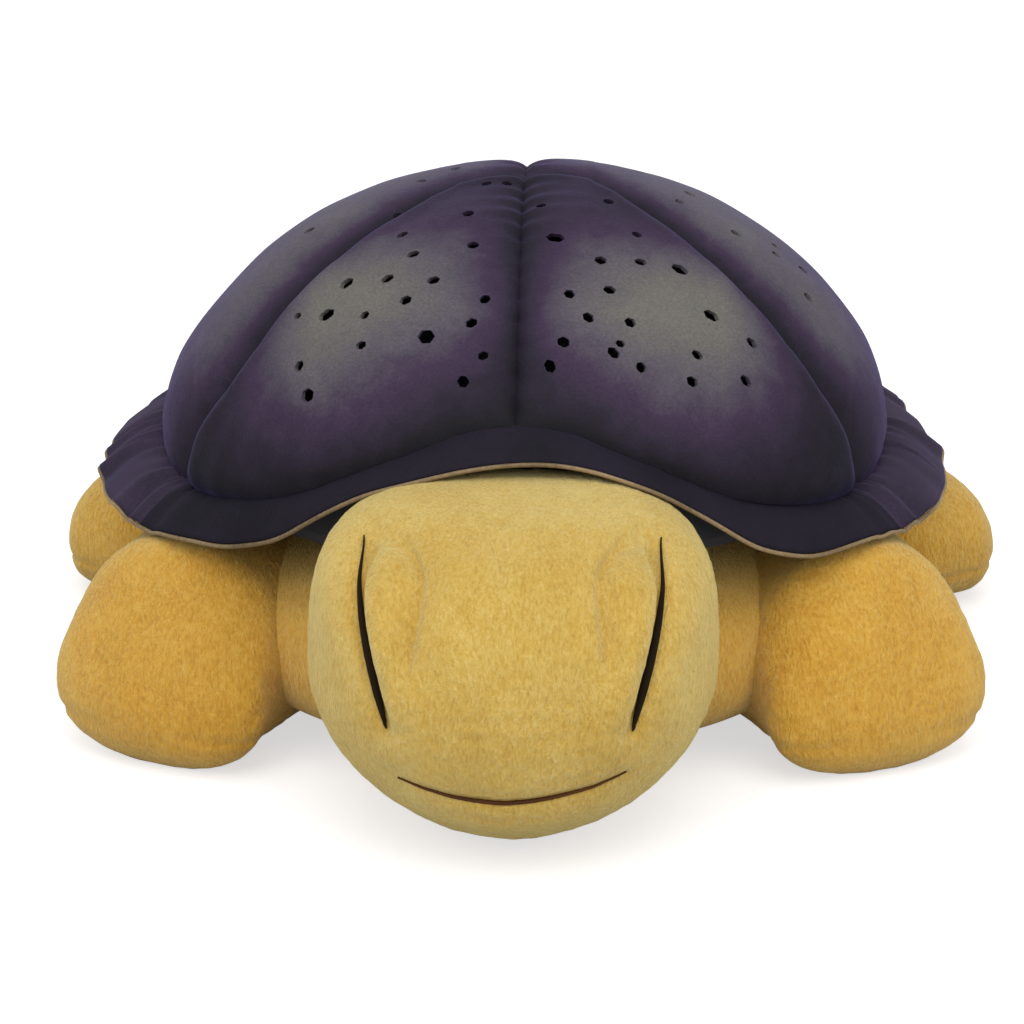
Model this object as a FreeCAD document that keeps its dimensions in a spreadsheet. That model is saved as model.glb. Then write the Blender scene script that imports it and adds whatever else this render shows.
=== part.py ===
import FreeCAD, Part

import math
import os

import Sketcher
from FreeCAD import Placement, Rotation, Vector

# Star night light: a stuffed turtle whose padded shell hides a perforated plastic dome.
# Millimetres, +Z up, the head looks along -Y, and the origin is under the middle of the
# whole toy on the surface that it rests on.

SIZES = {
    # Shell
    "shell_back": 18.0,
    "cover_wide": 122.0,
    "cover_long": 130.0,
    "cover_rise": 88.0,
    "cover_spring": 83.0,
    "dome_back": 26.0,
    "dome_radius": 112.0,
    "dome_rise": 79.0,
    "dome_foot": 79.0,
    "dome_wall": 2.2,
    "neck_arch_wide": 102.0,
    "neck_arch_high": 122.0,
    "seam_deep": 6.0,
    # Base and battery housing
    "plate_thick": 3.0,
    "well_wide": 72.0,
    "well_long": 66.0,
    "bay_wide": 46.0,
    "bay_long": 50.0,
    "bay_high": 14.0,
    "bay_foot": 3.5,
    "housing_wall": 2.0,
    "door_thick": 2.0,
    "door_screw_across": 18.6,
    "cell_radius": 5.2,
    "cell_length": 44.0,
    # Lamp
    "column_radius": 9.0,
    "column_high": 20.0,
    "lens_radius": 15.0,
    "led_radius": 2.5,
    "led_high": 7.0,
    # Buttons
    "panel_wide": 70.0,
    "panel_tall": 32.0,
    "panel_high": 12.0,
    "panel_wall": 2.0,
    "button_radius": 5.5,
    "button_pitch": 15.0,
}

doc = FreeCAD.newDocument("star_night_light")
sheet = doc.addObject("Spreadsheet::Sheet", "Sizes")
for row, (alias, value) in enumerate(SIZES.items(), start=1):
    sheet.set(f"A{row}", alias)
    sheet.set(f"B{row}", str(value))
    sheet.setAlias(f"B{row}", alias)
doc.recompute()

subparts = []


def size(alias):
    """Return one driving size from the sheet, in mm."""
    return float(sheet.get(alias))


def bind(thing, rules):
    """Bind each named size of a document object to a rule on the sheet."""
    for name, rule in rules.items():
        thing.setExpression(name, rule)


def keep(thing, label):
    """Name a document object as one physical piece of the toy."""
    thing.Label = label
    subparts.append(thing)
    return thing


def soft(label, shape):
    """Keep a sewn or stuffed shape as a piece of the toy."""
    thing = doc.addObject("Part::Feature", label)
    thing.Shape = shape
    return keep(thing, label)


def part_body(label, back="0", rise="0", across="0"):
    """Make a body whose place follows the sheet."""
    body = doc.addObject("PartDesign::Body", label)
    bind(body, {"Placement.Base.x": across, "Placement.Base.y": back, "Placement.Base.z": rise})
    return keep(body, label)


def origin_plane(body, role):
    """Find one of a body's own origin planes."""
    return next(plane for plane in body.Origin.OriginFeatures if plane.Role == role)


def new_sketch(body, name, role="XY_Plane", rise="0"):
    """Start a sketch on a body's plane, lifted by a rule on the sheet."""
    sketch = body.newObject("Sketcher::SketchObject", name)
    sketch.AttachmentSupport = [(origin_plane(body, role), "")]
    sketch.MapMode = "FlatFace"
    bind(sketch, {"AttachmentOffset.Base.z": rise})
    return sketch


def pin_points(sketch, corners):
    """Hold the start of each edge of a closed outline at a pair of rules."""
    for index, rules in enumerate(corners):
        for kind, rule in zip(("DistanceX", "DistanceY"), rules):
            number = sketch.addConstraint(Sketcher.Constraint(kind, -1, 1, index, 1, 1.0))
            sketch.setExpression(f"Constraints[{number}]", rule)


def outline(sketch, corners):
    """Draw a closed outline of straight edges through corners given as rules."""
    count = len(corners)
    guesses = [Vector(math.cos(index * math.tau / count), math.sin(index * math.tau / count), 0)
               for index in range(count)]
    edges = [Part.LineSegment(guesses[index], guesses[(index + 1) % count])
             for index in range(count)]
    sketch.addGeometry(edges, False)
    for index in range(count):
        after = (index + 1) % count
        sketch.addConstraint(Sketcher.Constraint("Coincident", index, 2, after, 1))
    pin_points(sketch, corners)


def rectangle(sketch, wide, long, across="0", back="0"):
    """Draw a centred rectangle from rules for its width and length."""
    outline(sketch, [(f"{across} - ({wide}) / 2", f"{back} - ({long}) / 2"),
                     (f"{across} + ({wide}) / 2", f"{back} - ({long}) / 2"),
                     (f"{across} + ({wide}) / 2", f"{back} + ({long}) / 2"),
                     (f"{across} - ({wide}) / 2", f"{back} + ({long}) / 2")])


def circle(sketch, radius, across="0", back="0"):
    """Draw a circle from rules for its radius and centre."""
    index = sketch.addGeometry(Part.Circle(Vector(0, 0, 0), Vector(0, 0, 1), 1.0), False)
    for kind, rule in (("DistanceX", across), ("DistanceY", back)):
        number = sketch.addConstraint(Sketcher.Constraint(kind, -1, 1, index, 3, 0.5))
        sketch.setExpression(f"Constraints[{number}]", rule)
    number = sketch.addConstraint(Sketcher.Constraint("Radius", index, 1.0))
    sketch.setExpression(f"Constraints[{number}]", radius)


def extrude(body, sketch, kind, length, reverse=False):
    """Pad or pocket a sketch by a rule on the sheet."""
    feature = body.newObject(f"PartDesign::{kind}", f"{sketch.Name}_{kind.lower()}")
    feature.Profile = sketch
    feature.Reversed = reverse
    bind(feature, {"Length": length})
    sketch.Visibility = False
    return feature


def turn(body, sketch):
    """Turn a profile drawn on the XZ plane about the body's vertical axis."""
    feature = body.newObject("PartDesign::Revolution", f"{sketch.Name}_revolution")
    feature.Profile = sketch
    feature.ReferenceAxis = (sketch, ["V_Axis"])
    feature.Angle = 360.0
    return feature


def prism(label, wide, long, high, across="0", back="0", rise="0"):
    """Make a small box-shaped piece such as a board."""
    body = part_body(label, back, rise, across)
    sketch = new_sketch(body, f"{label}_outline")
    rectangle(sketch, wide, long)
    extrude(body, sketch, "Pad", high)
    return body


# Shell forms

RING_ANGLES = [0.0, 12.0, 24.0, 36.0, 48.0, 60.0, 71.0, 80.0, 86.0]


def dome_rings(wide, long, rise, foot, spring, back):
    """Return the level rings of a domed form, from its foot to its crown."""
    rings = [(0.0, foot)] if spring > foot else []
    rings += [(angle, spring + rise * math.sin(math.radians(angle))) for angle in RING_ANGLES]
    wires = []
    for angle, level in rings:
        shrink = math.cos(math.radians(angle))
        centre = Vector(0, back, level)
        along = Vector(0, long * shrink, 0)
        across = Vector(-wide * shrink, 0, 0)
        ring = Part.Ellipse(centre + along, centre + across, centre)
        wires.append(Part.Wire(ring.toShape()))
    return wires


def dome_solid(*sizes):
    """Loft a closed dome through its level rings."""
    return Part.makeLoft(dome_rings(*sizes), True, True)


cover_sizes = [size(alias) for alias in ("cover_wide", "cover_long", "cover_rise")]
shell_back = size("shell_back")
cover_spring = size("cover_spring")
dome_foot = size("dome_foot")
dome_back = size("dome_back")
dome_radius = size("dome_radius")
dome_rise = size("dome_rise")
dome_wall = size("dome_wall")


def cover_height(across, back):
    """Return the height of the padded cover's outer face over a point of the plan."""
    wide, long, rise = cover_sizes
    fall = 1 - (across / wide) ** 2 - ((back - shell_back) / long) ** 2
    return cover_spring + rise * math.sqrt(max(fall, 0.0))


def cover_normal(point):
    """Return the outward direction of the cover's outer face at a point."""
    wide, long, rise = cover_sizes
    return Vector(point.x / wide ** 2, (point.y - shell_back) / long ** 2,
                  (point.z - cover_spring) / rise ** 2).normalize()


dome_outer = dome_solid(dome_radius, dome_radius + 0.01, dome_rise, dome_foot, dome_foot, dome_back)
dome_inner = dome_solid(dome_radius - dome_wall, dome_radius + 0.01 - dome_wall,
                        dome_rise - dome_wall, dome_foot - 1, dome_foot, dome_back)
cover_outer = dome_solid(*cover_sizes, dome_foot, cover_spring, shell_back)

# The lamp sits low in the dome, and every star lines up with it.
LAMP = Vector(0, 24, 100)

# Stars on the front panels, as seen from the front: millimetres to the right of the middle
# seam, height above the table, and diameter.
FRONT_STARS = [
    (-21, 159, 4.0), (-46, 151, 3.4), (-42, 142, 3.2), (-20, 147, 3.6), (-66, 127, 4.8),
    (-50, 131, 3.4), (-33, 131, 3.0), (-43, 121, 3.2), (-14, 123, 3.4), (-72, 112, 4.8),
    (-19, 112, 3.2), (-58, 101, 3.2), (-36, 106, 4.8), (-78, 94, 3.4), (8, 163, 3.6),
    (32, 161, 3.6), (13, 151, 5.4), (42, 148, 3.6), (30, 138, 3.2), (44, 136, 3.4),
    (58, 130, 4.6), (18, 127, 3.4), (33, 126, 3.2), (69, 112, 4.8), (25, 116, 3.2),
    (40, 113, 3.6), (84, 97, 3.6), (16, 110, 3.4), (64, 98, 3.4),
]

# Stars behind the cross seam: across, back and diameter in plan.
REAR_STARS = [
    (-46, 30, 3.6), (-38, 52, 3.6), (-26, 66, 3.4), (-14, 44, 3.4), (-72, 10, 3.4),
    (14, 72, 3.6), (24, 54, 3.4), (38, 60, 3.6), (56, 38, 3.6), (76, 14, 3.4),
    (-84, 48, 3.6), (-62, 84, 3.6), (62, 88, 3.6), (88, 52, 3.4), (-98, 20, 3.4),
    (98, 26, 3.4), (0, 96, 3.6),
]


def front_point(across, height):
    """Return the point of the cover's front at a place seen from the front."""
    wide, long, rise = cover_sizes
    fall = 1 - (across / wide) ** 2 - ((height - cover_spring) / rise) ** 2
    return Vector(across, shell_back - long * math.sqrt(fall), height)


def star_points():
    """Return each star's place on the cover with its diameter."""
    front = [(front_point(across, height), width) for across, height, width in FRONT_STARS]
    rear = [(Vector(across, back, cover_height(across, back)), width)
            for across, back, width in REAR_STARS]
    return front + rear


def punch(point, sides, radius, inner_radius, start, length):
    """Make a prism along the ray from the lamp through a point of the cover."""
    ray = (point - LAMP).normalize()
    turn_to_ray = Rotation(Vector(0, 0, 1), ray)
    corners = []
    for step in range(sides):
        reach = radius if step % 2 == 0 else inner_radius
        angle = math.tau * step / sides
        corners.append(Vector(reach * math.cos(angle), reach * math.sin(angle), 0))
    corners.append(corners[0])
    base = LAMP + ray * start
    face = Part.Face(Part.makePolygon([base + turn_to_ray.multVec(corner) for corner in corners]))
    return face.extrude(ray * length)


def dome_stars():
    """Make the five-pointed cutters of the plastic dome."""
    return [punch(point, 10, width * 0.62, width * 0.28, 48, (point - LAMP).Length - 50)
            for point, width in star_points()]


def cover_holes():
    """Make the eight-sided cutters of the padded cover."""
    return [punch(point, 8, width / 2, width / 2, 48, (point - LAMP).Length - 30)
            for point, width in star_points()]


def loft_sections(sections):
    """Loft a solid through outlines with straight rulings."""
    return Part.makeLoft(sections, True, True)


def seam_groove(plan, depth, half_width=5.0):
    """Make the cutter of a drawn-in seam that crosses the cover along a plan line."""
    sections = []
    for index, (across, back) in enumerate(plan):
        before = plan[max(index - 1, 0)]
        after = plan[min(index + 1, len(plan) - 1)]
        point = Vector(across, back, cover_height(across, back))
        up = cover_normal(point)
        along = (Vector(after[0], after[1], cover_height(*after))
                 - Vector(before[0], before[1], cover_height(*before)))
        side = along.cross(up).normalize()
        top = point + up * 2
        sections.append(Part.makePolygon([point - up * depth, top + side * half_width,
                                          top - side * half_width, point - up * depth]))
    return loft_sections(sections)


# Plan of the cross seam, from the crown to the right side.
CROSS_SEAM = [(0, 32), (22, 30), (40, 12), (60, -8), (78, -22), (98, -29), (121, -20)]
CROSS_LINE = [(-across, back) for across, back in reversed(CROSS_SEAM[1:])] + CROSS_SEAM
MIDDLE_STEPS = [-96, -70, -40, -8, 25, 58, 90, 118]
MIDDLE_LINE = [(0, back) for back in MIDDLE_STEPS]


def neck_arch():
    """Make the cutter that lifts the cover's front edge over the neck."""
    wide = size("neck_arch_wide")
    high = size("neck_arch_high")
    shoulder = Vector(wide * 0.44, -200, high - 13)
    mirrored = Vector(-shoulder.x, shoulder.y, shoulder.z)
    foot = cover_spring
    arc = Part.Arc(shoulder, Vector(0, -200, high), mirrored).toShape()
    left = Part.makePolygon([mirrored, Vector(-wide, -200, foot), Vector(-wide, -200, foot - 10),
                             Vector(wide, -200, foot - 10), Vector(wide, -200, foot), shoulder])
    face = Part.Face(Part.Wire([arc] + left.Edges))
    return face.extrude(Vector(0, 190, 0))


def panel_frame():
    """Return the place of the button panel: its base point on the dome and its turn."""
    level = 121.0
    rise = (level - dome_foot) / dome_rise
    reach = dome_radius * math.sqrt(1 - rise ** 2)
    base = Vector(0, dome_back + reach, level)
    outward = Vector(0, reach / dome_radius ** 2, (level - dome_foot) / dome_rise ** 2)
    lean = math.degrees(math.atan2(outward.y, outward.z))
    return Placement(base, Rotation(Vector(1, 0, 0), -lean))


PANEL = panel_frame()


def stadium(wide, tall, low, high):
    """Make a prism with round ends in the button panel's own frame."""
    radius = tall / 2
    half = wide / 2 - radius
    edges = [Part.LineSegment(Vector(-half, -radius, low), Vector(half, -radius, low)).toShape(),
             Part.Arc(Vector(half, -radius, low), Vector(half + radius, 0, low),
                      Vector(half, radius, low)).toShape(),
             Part.LineSegment(Vector(half, radius, low), Vector(-half, radius, low)).toShape(),
             Part.Arc(Vector(-half, radius, low), Vector(-half - radius, 0, low),
                      Vector(-half, -radius, low)).toShape()]
    solid = Part.Face(Part.Wire(edges)).extrude(Vector(0, 0, high - low))
    solid.Placement = PANEL
    return solid


panel_wide = size("panel_wide")
panel_tall = size("panel_tall")
panel_hole = stadium(panel_wide + 1, panel_tall + 1, -8, 40)
switch_window = stadium(panel_wide - 10, panel_tall - 8, -12, 6)


def half_plan(points, side_reach, far_back):
    """Extrude the plan region between the cross seam's half and one end of the shell."""
    sign = 1 if side_reach > 0 else -1
    line = [Vector(sign * across, back, 60) for across, back in points]
    corners = line + [Vector(side_reach, line[-1].y, 60), Vector(side_reach, far_back, 60),
                      Vector(0, far_back, 60), line[0]]
    return Part.Face(Part.makePolygon(corners)).extrude(Vector(0, 0, 130))


def cover_panels():
    """Cut the padded cover to its four sewn panels."""
    layer = cover_outer.cut(dome_outer)
    cutters = [neck_arch(), seam_groove(CROSS_LINE, size("seam_deep")),
               seam_groove(MIDDLE_LINE, size("seam_deep")), panel_hole]
    layer = layer.cut(cutters + cover_holes())
    for end, far_back in (("front", -200), ("rear", 260)):
        for side, reach in (("left", -160), ("right", 160)):
            soft(f"cover_{end}_{side}", layer.common(half_plan(CROSS_SEAM, reach, far_back)))


SCREW_ANGLES = (35, 145, 215, 325)
SCREW_RING = 103.5
SHANK_RADIUS = 1.2


def screw_spots(level):
    """Return the places of the four dome screws at a level."""
    spots = []
    for angle in SCREW_ANGLES:
        spots.append(Vector(SCREW_RING * math.cos(math.radians(angle)),
                            dome_back + SCREW_RING * math.sin(math.radians(angle)), level))
    return spots


def star_dome():
    """Make the perforated plastic dome with its four drilled screw bosses."""
    shell = dome_outer.cut(dome_inner)
    bosses = [Part.makeCylinder(3.5, 18, spot) for spot in screw_spots(dome_foot)]
    shell = shell.fuse([boss.common(dome_outer) for boss in bosses])
    pilots = [Part.makeCylinder(SHANK_RADIUS + 0.06, 11, spot) for spot in screw_spots(dome_foot)]
    soft("star_dome", shell.cut(dome_stars() + [switch_window] + pilots))


# Stuffed forms


def oval(centre, right, up, half_wide, half_high, fullness=0.76):
    """Return a closed outline of four arcs that meet on its seam lines."""
    wide = right * half_wide
    high = up * half_high
    ends = [wide, high, wide * -1, high * -1]
    arcs = []
    for index, start in enumerate(ends):
        finish = ends[(index + 1) % 4]
        middle = (start + finish) * fullness
        arcs.append(Part.Arc(centre + start, centre + middle, centre + finish).toShape())
    return Part.Wire(arcs)


def body_form():
    """Loft the stuffed body through level ovals, cut flat underneath."""
    # Level, half width and half length of each oval.
    levels = [(-0.5, 58, 64), (3, 84, 92), (14, 104, 112), (34, 112, 120), (54, 111, 119),
              (68, 107, 115), (76, 103, 111)]
    form = loft_sections([oval(Vector(0, shell_back, level), Vector(1, 0, 0), Vector(0, 1, 0),
                               wide, long, 0.73) for level, wide, long in levels])
    return form.cut(Part.makeBox(400, 400, 20, Vector(-200, -200, -20)))


def head_form():
    """Loft the head through upright ovals from the crown of the face to the neck."""
    # Distance from the nose, half width and half height of each oval.
    stations = [(0, 16, 13), (3, 30, 25), (10, 42, 36), (22, 53, 46.5), (40, 61, 53.5),
                (62, 63.5, 55.5), (84, 61, 54), (100, 56, 50)]
    return loft_sections([oval(Vector(0, -187 + back, 56.3), Vector(1, 0, 0), Vector(0, 0, 1),
                               wide, high, 0.735) for back, wide, high in stations])


def limb_form(root, toward, stations):
    """Loft a flipper along a plan direction through ovals that stand on the table."""
    along = Vector(toward[0], toward[1], 0).normalize()
    across = Vector(-along.y, along.x, 0)
    up = Vector(0, 0, 1)
    sections = []
    for reach, half_wide, half_high in stations:
        centre = Vector(root[0], root[1], half_high * 0.9 + 4.2) + along * reach
        sections.append(oval(centre, across, up, half_wide, half_high, 0.72))
    return loft_sections(sections)


FRONT_LIMB = [(0, 30, 22), (34, 38, 27), (66, 43, 30), (92, 39, 27), (108, 28, 20), (117, 13, 10)]
REAR_LIMB = [(0, 27, 19), (30, 33, 24), (58, 36, 25), (78, 30, 21), (91, 19, 14), (97, 9, 7)]
TAIL = [(0, 20, 17), (30, 18, 15), (48, 12, 11), (60, 4, 4)]

body_solid = body_form()
base_solid = Part.makeCylinder(dome_radius, size("plate_thick"),
                               Vector(0, dome_back, dome_foot - size("plate_thick")))


def housing_room(gap):
    """Return the space of the battery housing and its door, grown by a gap."""
    shapes = []
    for wide, long, low, high in (
            ("bay_wide", "bay_long", -5, size("bay_foot") + size("bay_high")),
            ("well_wide", "well_long", size("bay_foot") + size("bay_high") - gap, 90)):
        across = size(wide) / 2 + gap
        back = size(long) / 2 + gap
        shapes.append(Part.makeBox(across * 2, back * 2, high - low,
                                   Vector(-across, shell_back - back, low)))
    return shapes[0].fuse(shapes[1])


def stuffed_pieces():
    """Make the body, head, limbs and tail, each cut by the larger pieces."""
    soft("plush_body", body_solid.cut([housing_room(2.3), base_solid]))
    head = soft("head", head_form().cut(body_solid)).Shape
    for side, sign in (("left", -1), ("right", 1)):
        front = limb_form((sign * 68, -22), (sign * 0.6, -0.8), FRONT_LIMB)
        soft(f"front_flipper_{side}", front.cut([body_solid, head]))
        rear = limb_form((sign * 72, 66), (sign * 0.88, 0.48), REAR_LIMB)
        soft(f"rear_flipper_{side}", rear.cut(body_solid))
    soft("tail", limb_form((0, 127), (0, 1), TAIL).cut(body_solid))


# Brim sewn round the foot of the shell


def brim_section(root, outward, reach, drop, root_high=6.0, edge_high=4.0):
    """Return one four-sided section of the brim, from its seam to its edge."""
    edge = root + outward * reach - Vector(0, 0, drop)
    up = Vector(0, 0, 1)
    corners = [root + up * root_high / 2, root - up * root_high / 2,
               edge - up * edge_high / 2, edge + up * edge_high / 2]
    return Part.makePolygon(corners + corners[:1])


def arch_level(across):
    """Return the height of the cover's front edge over the neck."""
    wide = size("neck_arch_wide")
    high = size("neck_arch_high")
    shoulder = wide * 0.44
    if abs(across) > shoulder:
        share = (wide - abs(across)) / (wide - shoulder)
        return cover_spring + (high - 13 - cover_spring) * share
    radius = (shoulder ** 2 + 13 ** 2) / 26
    return high - radius + math.sqrt(radius ** 2 - across ** 2)


def front_brim():
    """Make the plain brim over the head, which follows the neck arch."""
    sections = []
    for step in range(-6, 7):
        across = size("neck_arch_wide") * 0.98 * step / 6
        root = front_point(across, max(arch_level(across), cover_spring + 0.5))
        outward = Vector(root.x / cover_sizes[0] ** 2,
                         (root.y - shell_back) / cover_sizes[1] ** 2, 0).normalize()
        root = root + outward * 0.6 - Vector(0, 0, 3.2)
        share = abs(step) / 6
        sections.append(brim_section(root, outward, 13 + 8 * share, 4 + 6 * share))
    return loft_sections(sections)


def ruffle(first, last, steps):
    """Make a gathered stretch of brim between two angles from straight ahead."""
    sections = []
    for step in range(steps + 1):
        angle = math.radians(first + (last - first) * step / steps)
        heading = Vector(math.sin(angle), -math.cos(angle), 0)
        root = Vector(cover_sizes[0] * heading.x, shell_back + cover_sizes[1] * heading.y, 79.6)
        wave = 2.6 if step % 2 else -2.6
        sections.append(brim_section(root + heading * 0.3, heading, 21 + wave * 0.5, 8 + wave, 5.0))
    return loft_sections(sections)


def brims():
    """Make the front brim and the three gathered stretches behind it."""
    cutters = [cover_outer, body_solid, dome_outer, base_solid]
    front = front_brim().cut(cutters + [doc.getObject("head").Shape])
    soft("front_brim", front)
    soft("side_ruffle_right", ruffle(57, 118, 12).cut(cutters + [front]))
    soft("side_ruffle_left", ruffle(-57, -118, 12).cut(cutters + [front]))
    soft("rear_ruffle", ruffle(118.2, 241.8, 22).cut(cutters))


# Projector unit inside the shell


def base_plate():
    """Make the round plate that carries the dome, with its housing opening and holes."""
    body = part_body("base_plate", "Sizes.dome_back", "Sizes.dome_foot - Sizes.plate_thick")
    rim = new_sketch(body, "plate_rim")
    circle(rim, "Sizes.dome_radius")
    extrude(body, rim, "Pad", "Sizes.plate_thick")
    opening = new_sketch(body, "housing_opening")
    rectangle(opening, "Sizes.well_wide + 0.4", "Sizes.well_long + 0.4",
              back="Sizes.shell_back - Sizes.dome_back")
    extrude(body, opening, "Pocket", "Sizes.plate_thick + 1", reverse=True)
    holes = new_sketch(body, "screw_holes")
    for angle in SCREW_ANGLES:
        circle(holes, "1.6", f"{SCREW_RING} * cos({angle} deg)", f"{SCREW_RING} * sin({angle} deg)")
    extrude(body, holes, "Pocket", "Sizes.plate_thick + 1", reverse=True)
    heads = new_sketch(body, "screw_recesses")
    for angle in SCREW_ANGLES:
        circle(heads, "3.2", f"{SCREW_RING} * cos({angle} deg)", f"{SCREW_RING} * sin({angle} deg)")
    extrude(body, heads, "Pocket", "1.6", reverse=True)


def battery_housing():
    """Make the deep housing that hangs from the base plate down to the belly."""
    body = part_body("battery_housing", "Sizes.shell_back", "Sizes.bay_foot")
    bay = new_sketch(body, "bay_outline")
    rectangle(bay, "Sizes.bay_wide", "Sizes.bay_long")
    extrude(body, bay, "Pad", "Sizes.bay_high")
    well = new_sketch(body, "well_outline", rise="Sizes.bay_high")
    rectangle(well, "Sizes.well_wide", "Sizes.well_long")
    extrude(body, well, "Pad", "Sizes.dome_foot - Sizes.bay_foot - Sizes.bay_high + 0.1")
    rim = new_sketch(body, "rim_outline", rise="Sizes.dome_foot - Sizes.bay_foot")
    rectangle(rim, "Sizes.well_wide + 12", "Sizes.well_long + 12")
    extrude(body, rim, "Pad", "2")
    hollow = new_sketch(body, "well_hollow", rise="Sizes.bay_high + Sizes.housing_wall")
    rectangle(hollow, "Sizes.well_wide - 2 * Sizes.housing_wall",
              "Sizes.well_long - 2 * Sizes.housing_wall")
    extrude(body, hollow, "Pocket", "80", reverse=True)
    cells = new_sketch(body, "bay_hollow")
    rectangle(cells, "Sizes.bay_wide - 2 * Sizes.housing_wall",
              "Sizes.bay_long - 2 * Sizes.housing_wall")
    extrude(body, cells, "Pocket", "Sizes.bay_high - Sizes.housing_wall", reverse=True)
    boss = new_sketch(body, "door_screw_boss", rise="1.4")
    circle(boss, "2.2", "Sizes.door_screw_across")
    extrude(body, boss, "Pad", "Sizes.bay_high - Sizes.housing_wall - 1.3")
    hole = new_sketch(body, "door_screw_hole")
    circle(hole, "1.1", "Sizes.door_screw_across")
    extrude(body, hole, "Pocket", "Sizes.bay_high - Sizes.housing_wall - 1", reverse=True)


def battery_door():
    """Make the door under the belly with its finger notch and screw hole."""
    body = part_body("battery_door", "Sizes.shell_back", "Sizes.bay_foot - Sizes.door_thick")
    plate = new_sketch(body, "door_outline")
    rectangle(plate, "Sizes.bay_wide", "Sizes.bay_long")
    extrude(body, plate, "Pad", "Sizes.door_thick")
    lip = new_sketch(body, "door_lip", rise="Sizes.door_thick")
    rectangle(lip, "Sizes.bay_wide - 2 * Sizes.housing_wall - 0.6",
              "Sizes.bay_long - 2 * Sizes.housing_wall - 0.6")
    extrude(body, lip, "Pad", "1.2")
    notch = new_sketch(body, "finger_notch")
    rectangle(notch, "12", "3", back="-Sizes.bay_long / 2 + 6")
    extrude(body, notch, "Pocket", "0.8", reverse=True)
    hole = new_sketch(body, "door_hole")
    circle(hole, "1.3", "Sizes.door_screw_across")
    extrude(body, hole, "Pocket", "10", reverse=True)
    recess = new_sketch(body, "door_screw_recess")
    circle(recess, "2.8", "Sizes.door_screw_across")
    extrude(body, recess, "Pocket", "1.4", reverse=True)


def battery_cells():
    """Make the three cells that lie side by side in the bay."""
    for number in (1, 2, 3):
        body = part_body(f"battery_cell_{number}", "Sizes.shell_back - Sizes.cell_length / 2",
                         "Sizes.bay_foot + Sizes.bay_high - Sizes.housing_wall - Sizes.cell_radius",
                         f"{(number - 2) * 10.9}")
        can = new_sketch(body, f"cell_{number}_can", "XZ_Plane", "-Sizes.cell_length")
        circle(can, "Sizes.cell_radius")
        extrude(body, can, "Pad", "Sizes.cell_length - 1")
        nub = new_sketch(body, f"cell_{number}_nub", "XZ_Plane", "-1")
        circle(nub, "1.9")
        extrude(body, nub, "Pad", "1")


def contacts():
    """Make the leaf contact strips at the two ends of the battery bay."""
    reach = "Sizes.cell_length / 2 + 0.5"
    for name, sign in (("front_contacts", "-"), ("rear_contacts", "+")):
        prism(name, "34", "1", "8", back=f"Sizes.shell_back {sign} ({reach})",
              rise="Sizes.bay_foot + 3")


def lamp():
    """Make the lamp column, its board, three diodes and the clear lens."""
    column = part_body("lamp_column", "24", "Sizes.dome_foot + 2")
    flange = new_sketch(column, "column_foot")
    rectangle(flange, "Sizes.well_wide + 8", "16", back="Sizes.shell_back - 24")
    extrude(column, flange, "Pad", "2.5")
    post = new_sketch(column, "column_post")
    circle(post, "Sizes.column_radius")
    extrude(column, post, "Pad", "Sizes.column_high")
    bore = new_sketch(column, "column_bore")
    circle(bore, "Sizes.column_radius - 2")
    extrude(column, bore, "Pocket", "Sizes.column_high + 1", reverse=True)

    board = part_body("lamp_board", "24", "Sizes.dome_foot + 2 + Sizes.column_high")
    disc = new_sketch(board, "lamp_board_disc")
    circle(disc, "Sizes.lens_radius")
    extrude(board, disc, "Pad", "1.6")

    for colour, angle in (("amber", 90), ("blue", 210), ("green", 330)):
        diode = part_body(f"{colour}_led", f"24 + 6 * sin({angle} deg)",
                          "Sizes.dome_foot + 3.6 + Sizes.column_high", f"6 * cos({angle} deg)")
        can = new_sketch(diode, f"{colour}_led_profile", "XZ_Plane")
        outline(can, [("0", "0"), ("Sizes.led_radius + 0.5", "0"),
                      ("Sizes.led_radius + 0.5", "1"), ("Sizes.led_radius", "1"),
                      ("Sizes.led_radius", "Sizes.led_high - 2"),
                      ("Sizes.led_radius * 0.5", "Sizes.led_high - 0.3"),
                      ("0", "Sizes.led_high")])
        turn(diode, can)

    lens = part_body("lamp_lens", "24", "Sizes.dome_foot + 3.6 + Sizes.column_high")
    profile = new_sketch(lens, "lens_profile", "XZ_Plane")
    outline(profile, [("Sizes.lens_radius - 1.2", "0"), ("Sizes.lens_radius", "0"),
                      ("Sizes.lens_radius", "8"), ("Sizes.lens_radius * 0.8", "13"),
                      ("0", "16"), ("0", "14.8"), ("Sizes.lens_radius * 0.8 - 1", "12"),
                      ("Sizes.lens_radius - 1.2", "7.6")])
    turn(lens, profile)


def screw(label, places, head_radius, shank_radius, length):
    """Make a group of alike screws with flat round heads, one per place."""
    solids = []
    for place in places:
        solids.append(Part.makeCylinder(head_radius, 1.4).fuse(
            Part.makeCylinder(shank_radius, length, Vector(0, 0, 1.4))))
        solids[-1].Placement = place
    group = doc.addObject("Part::Feature", label)
    group.Shape = Part.makeCompound(solids)
    keep(group, label)


def boards_and_screws():
    """Make the main board in the well and the screws under the base plate."""
    prism("main_board", "Sizes.well_wide - 2 * Sizes.housing_wall - 1",
          "Sizes.well_long - 2 * Sizes.housing_wall - 1", "1.6", back="Sizes.shell_back",
          rise="Sizes.bay_foot + Sizes.bay_high + Sizes.housing_wall")
    spots = screw_spots(dome_foot - size("plate_thick") + 0.2)
    screw("dome_screws", [Placement(spot, Rotation()) for spot in spots], 3.0, SHANK_RADIUS, 12.0)
    door_place = Vector(size("door_screw_across"), shell_back, size("bay_foot") - size("door_thick"))
    screw("door_screw", [Placement(door_place, Rotation())], 2.5, 1.0, 8.0)


BUTTONS = [("power", -1.5), ("amber", -0.5), ("blue", 0.5), ("green", 1.5)]


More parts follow.
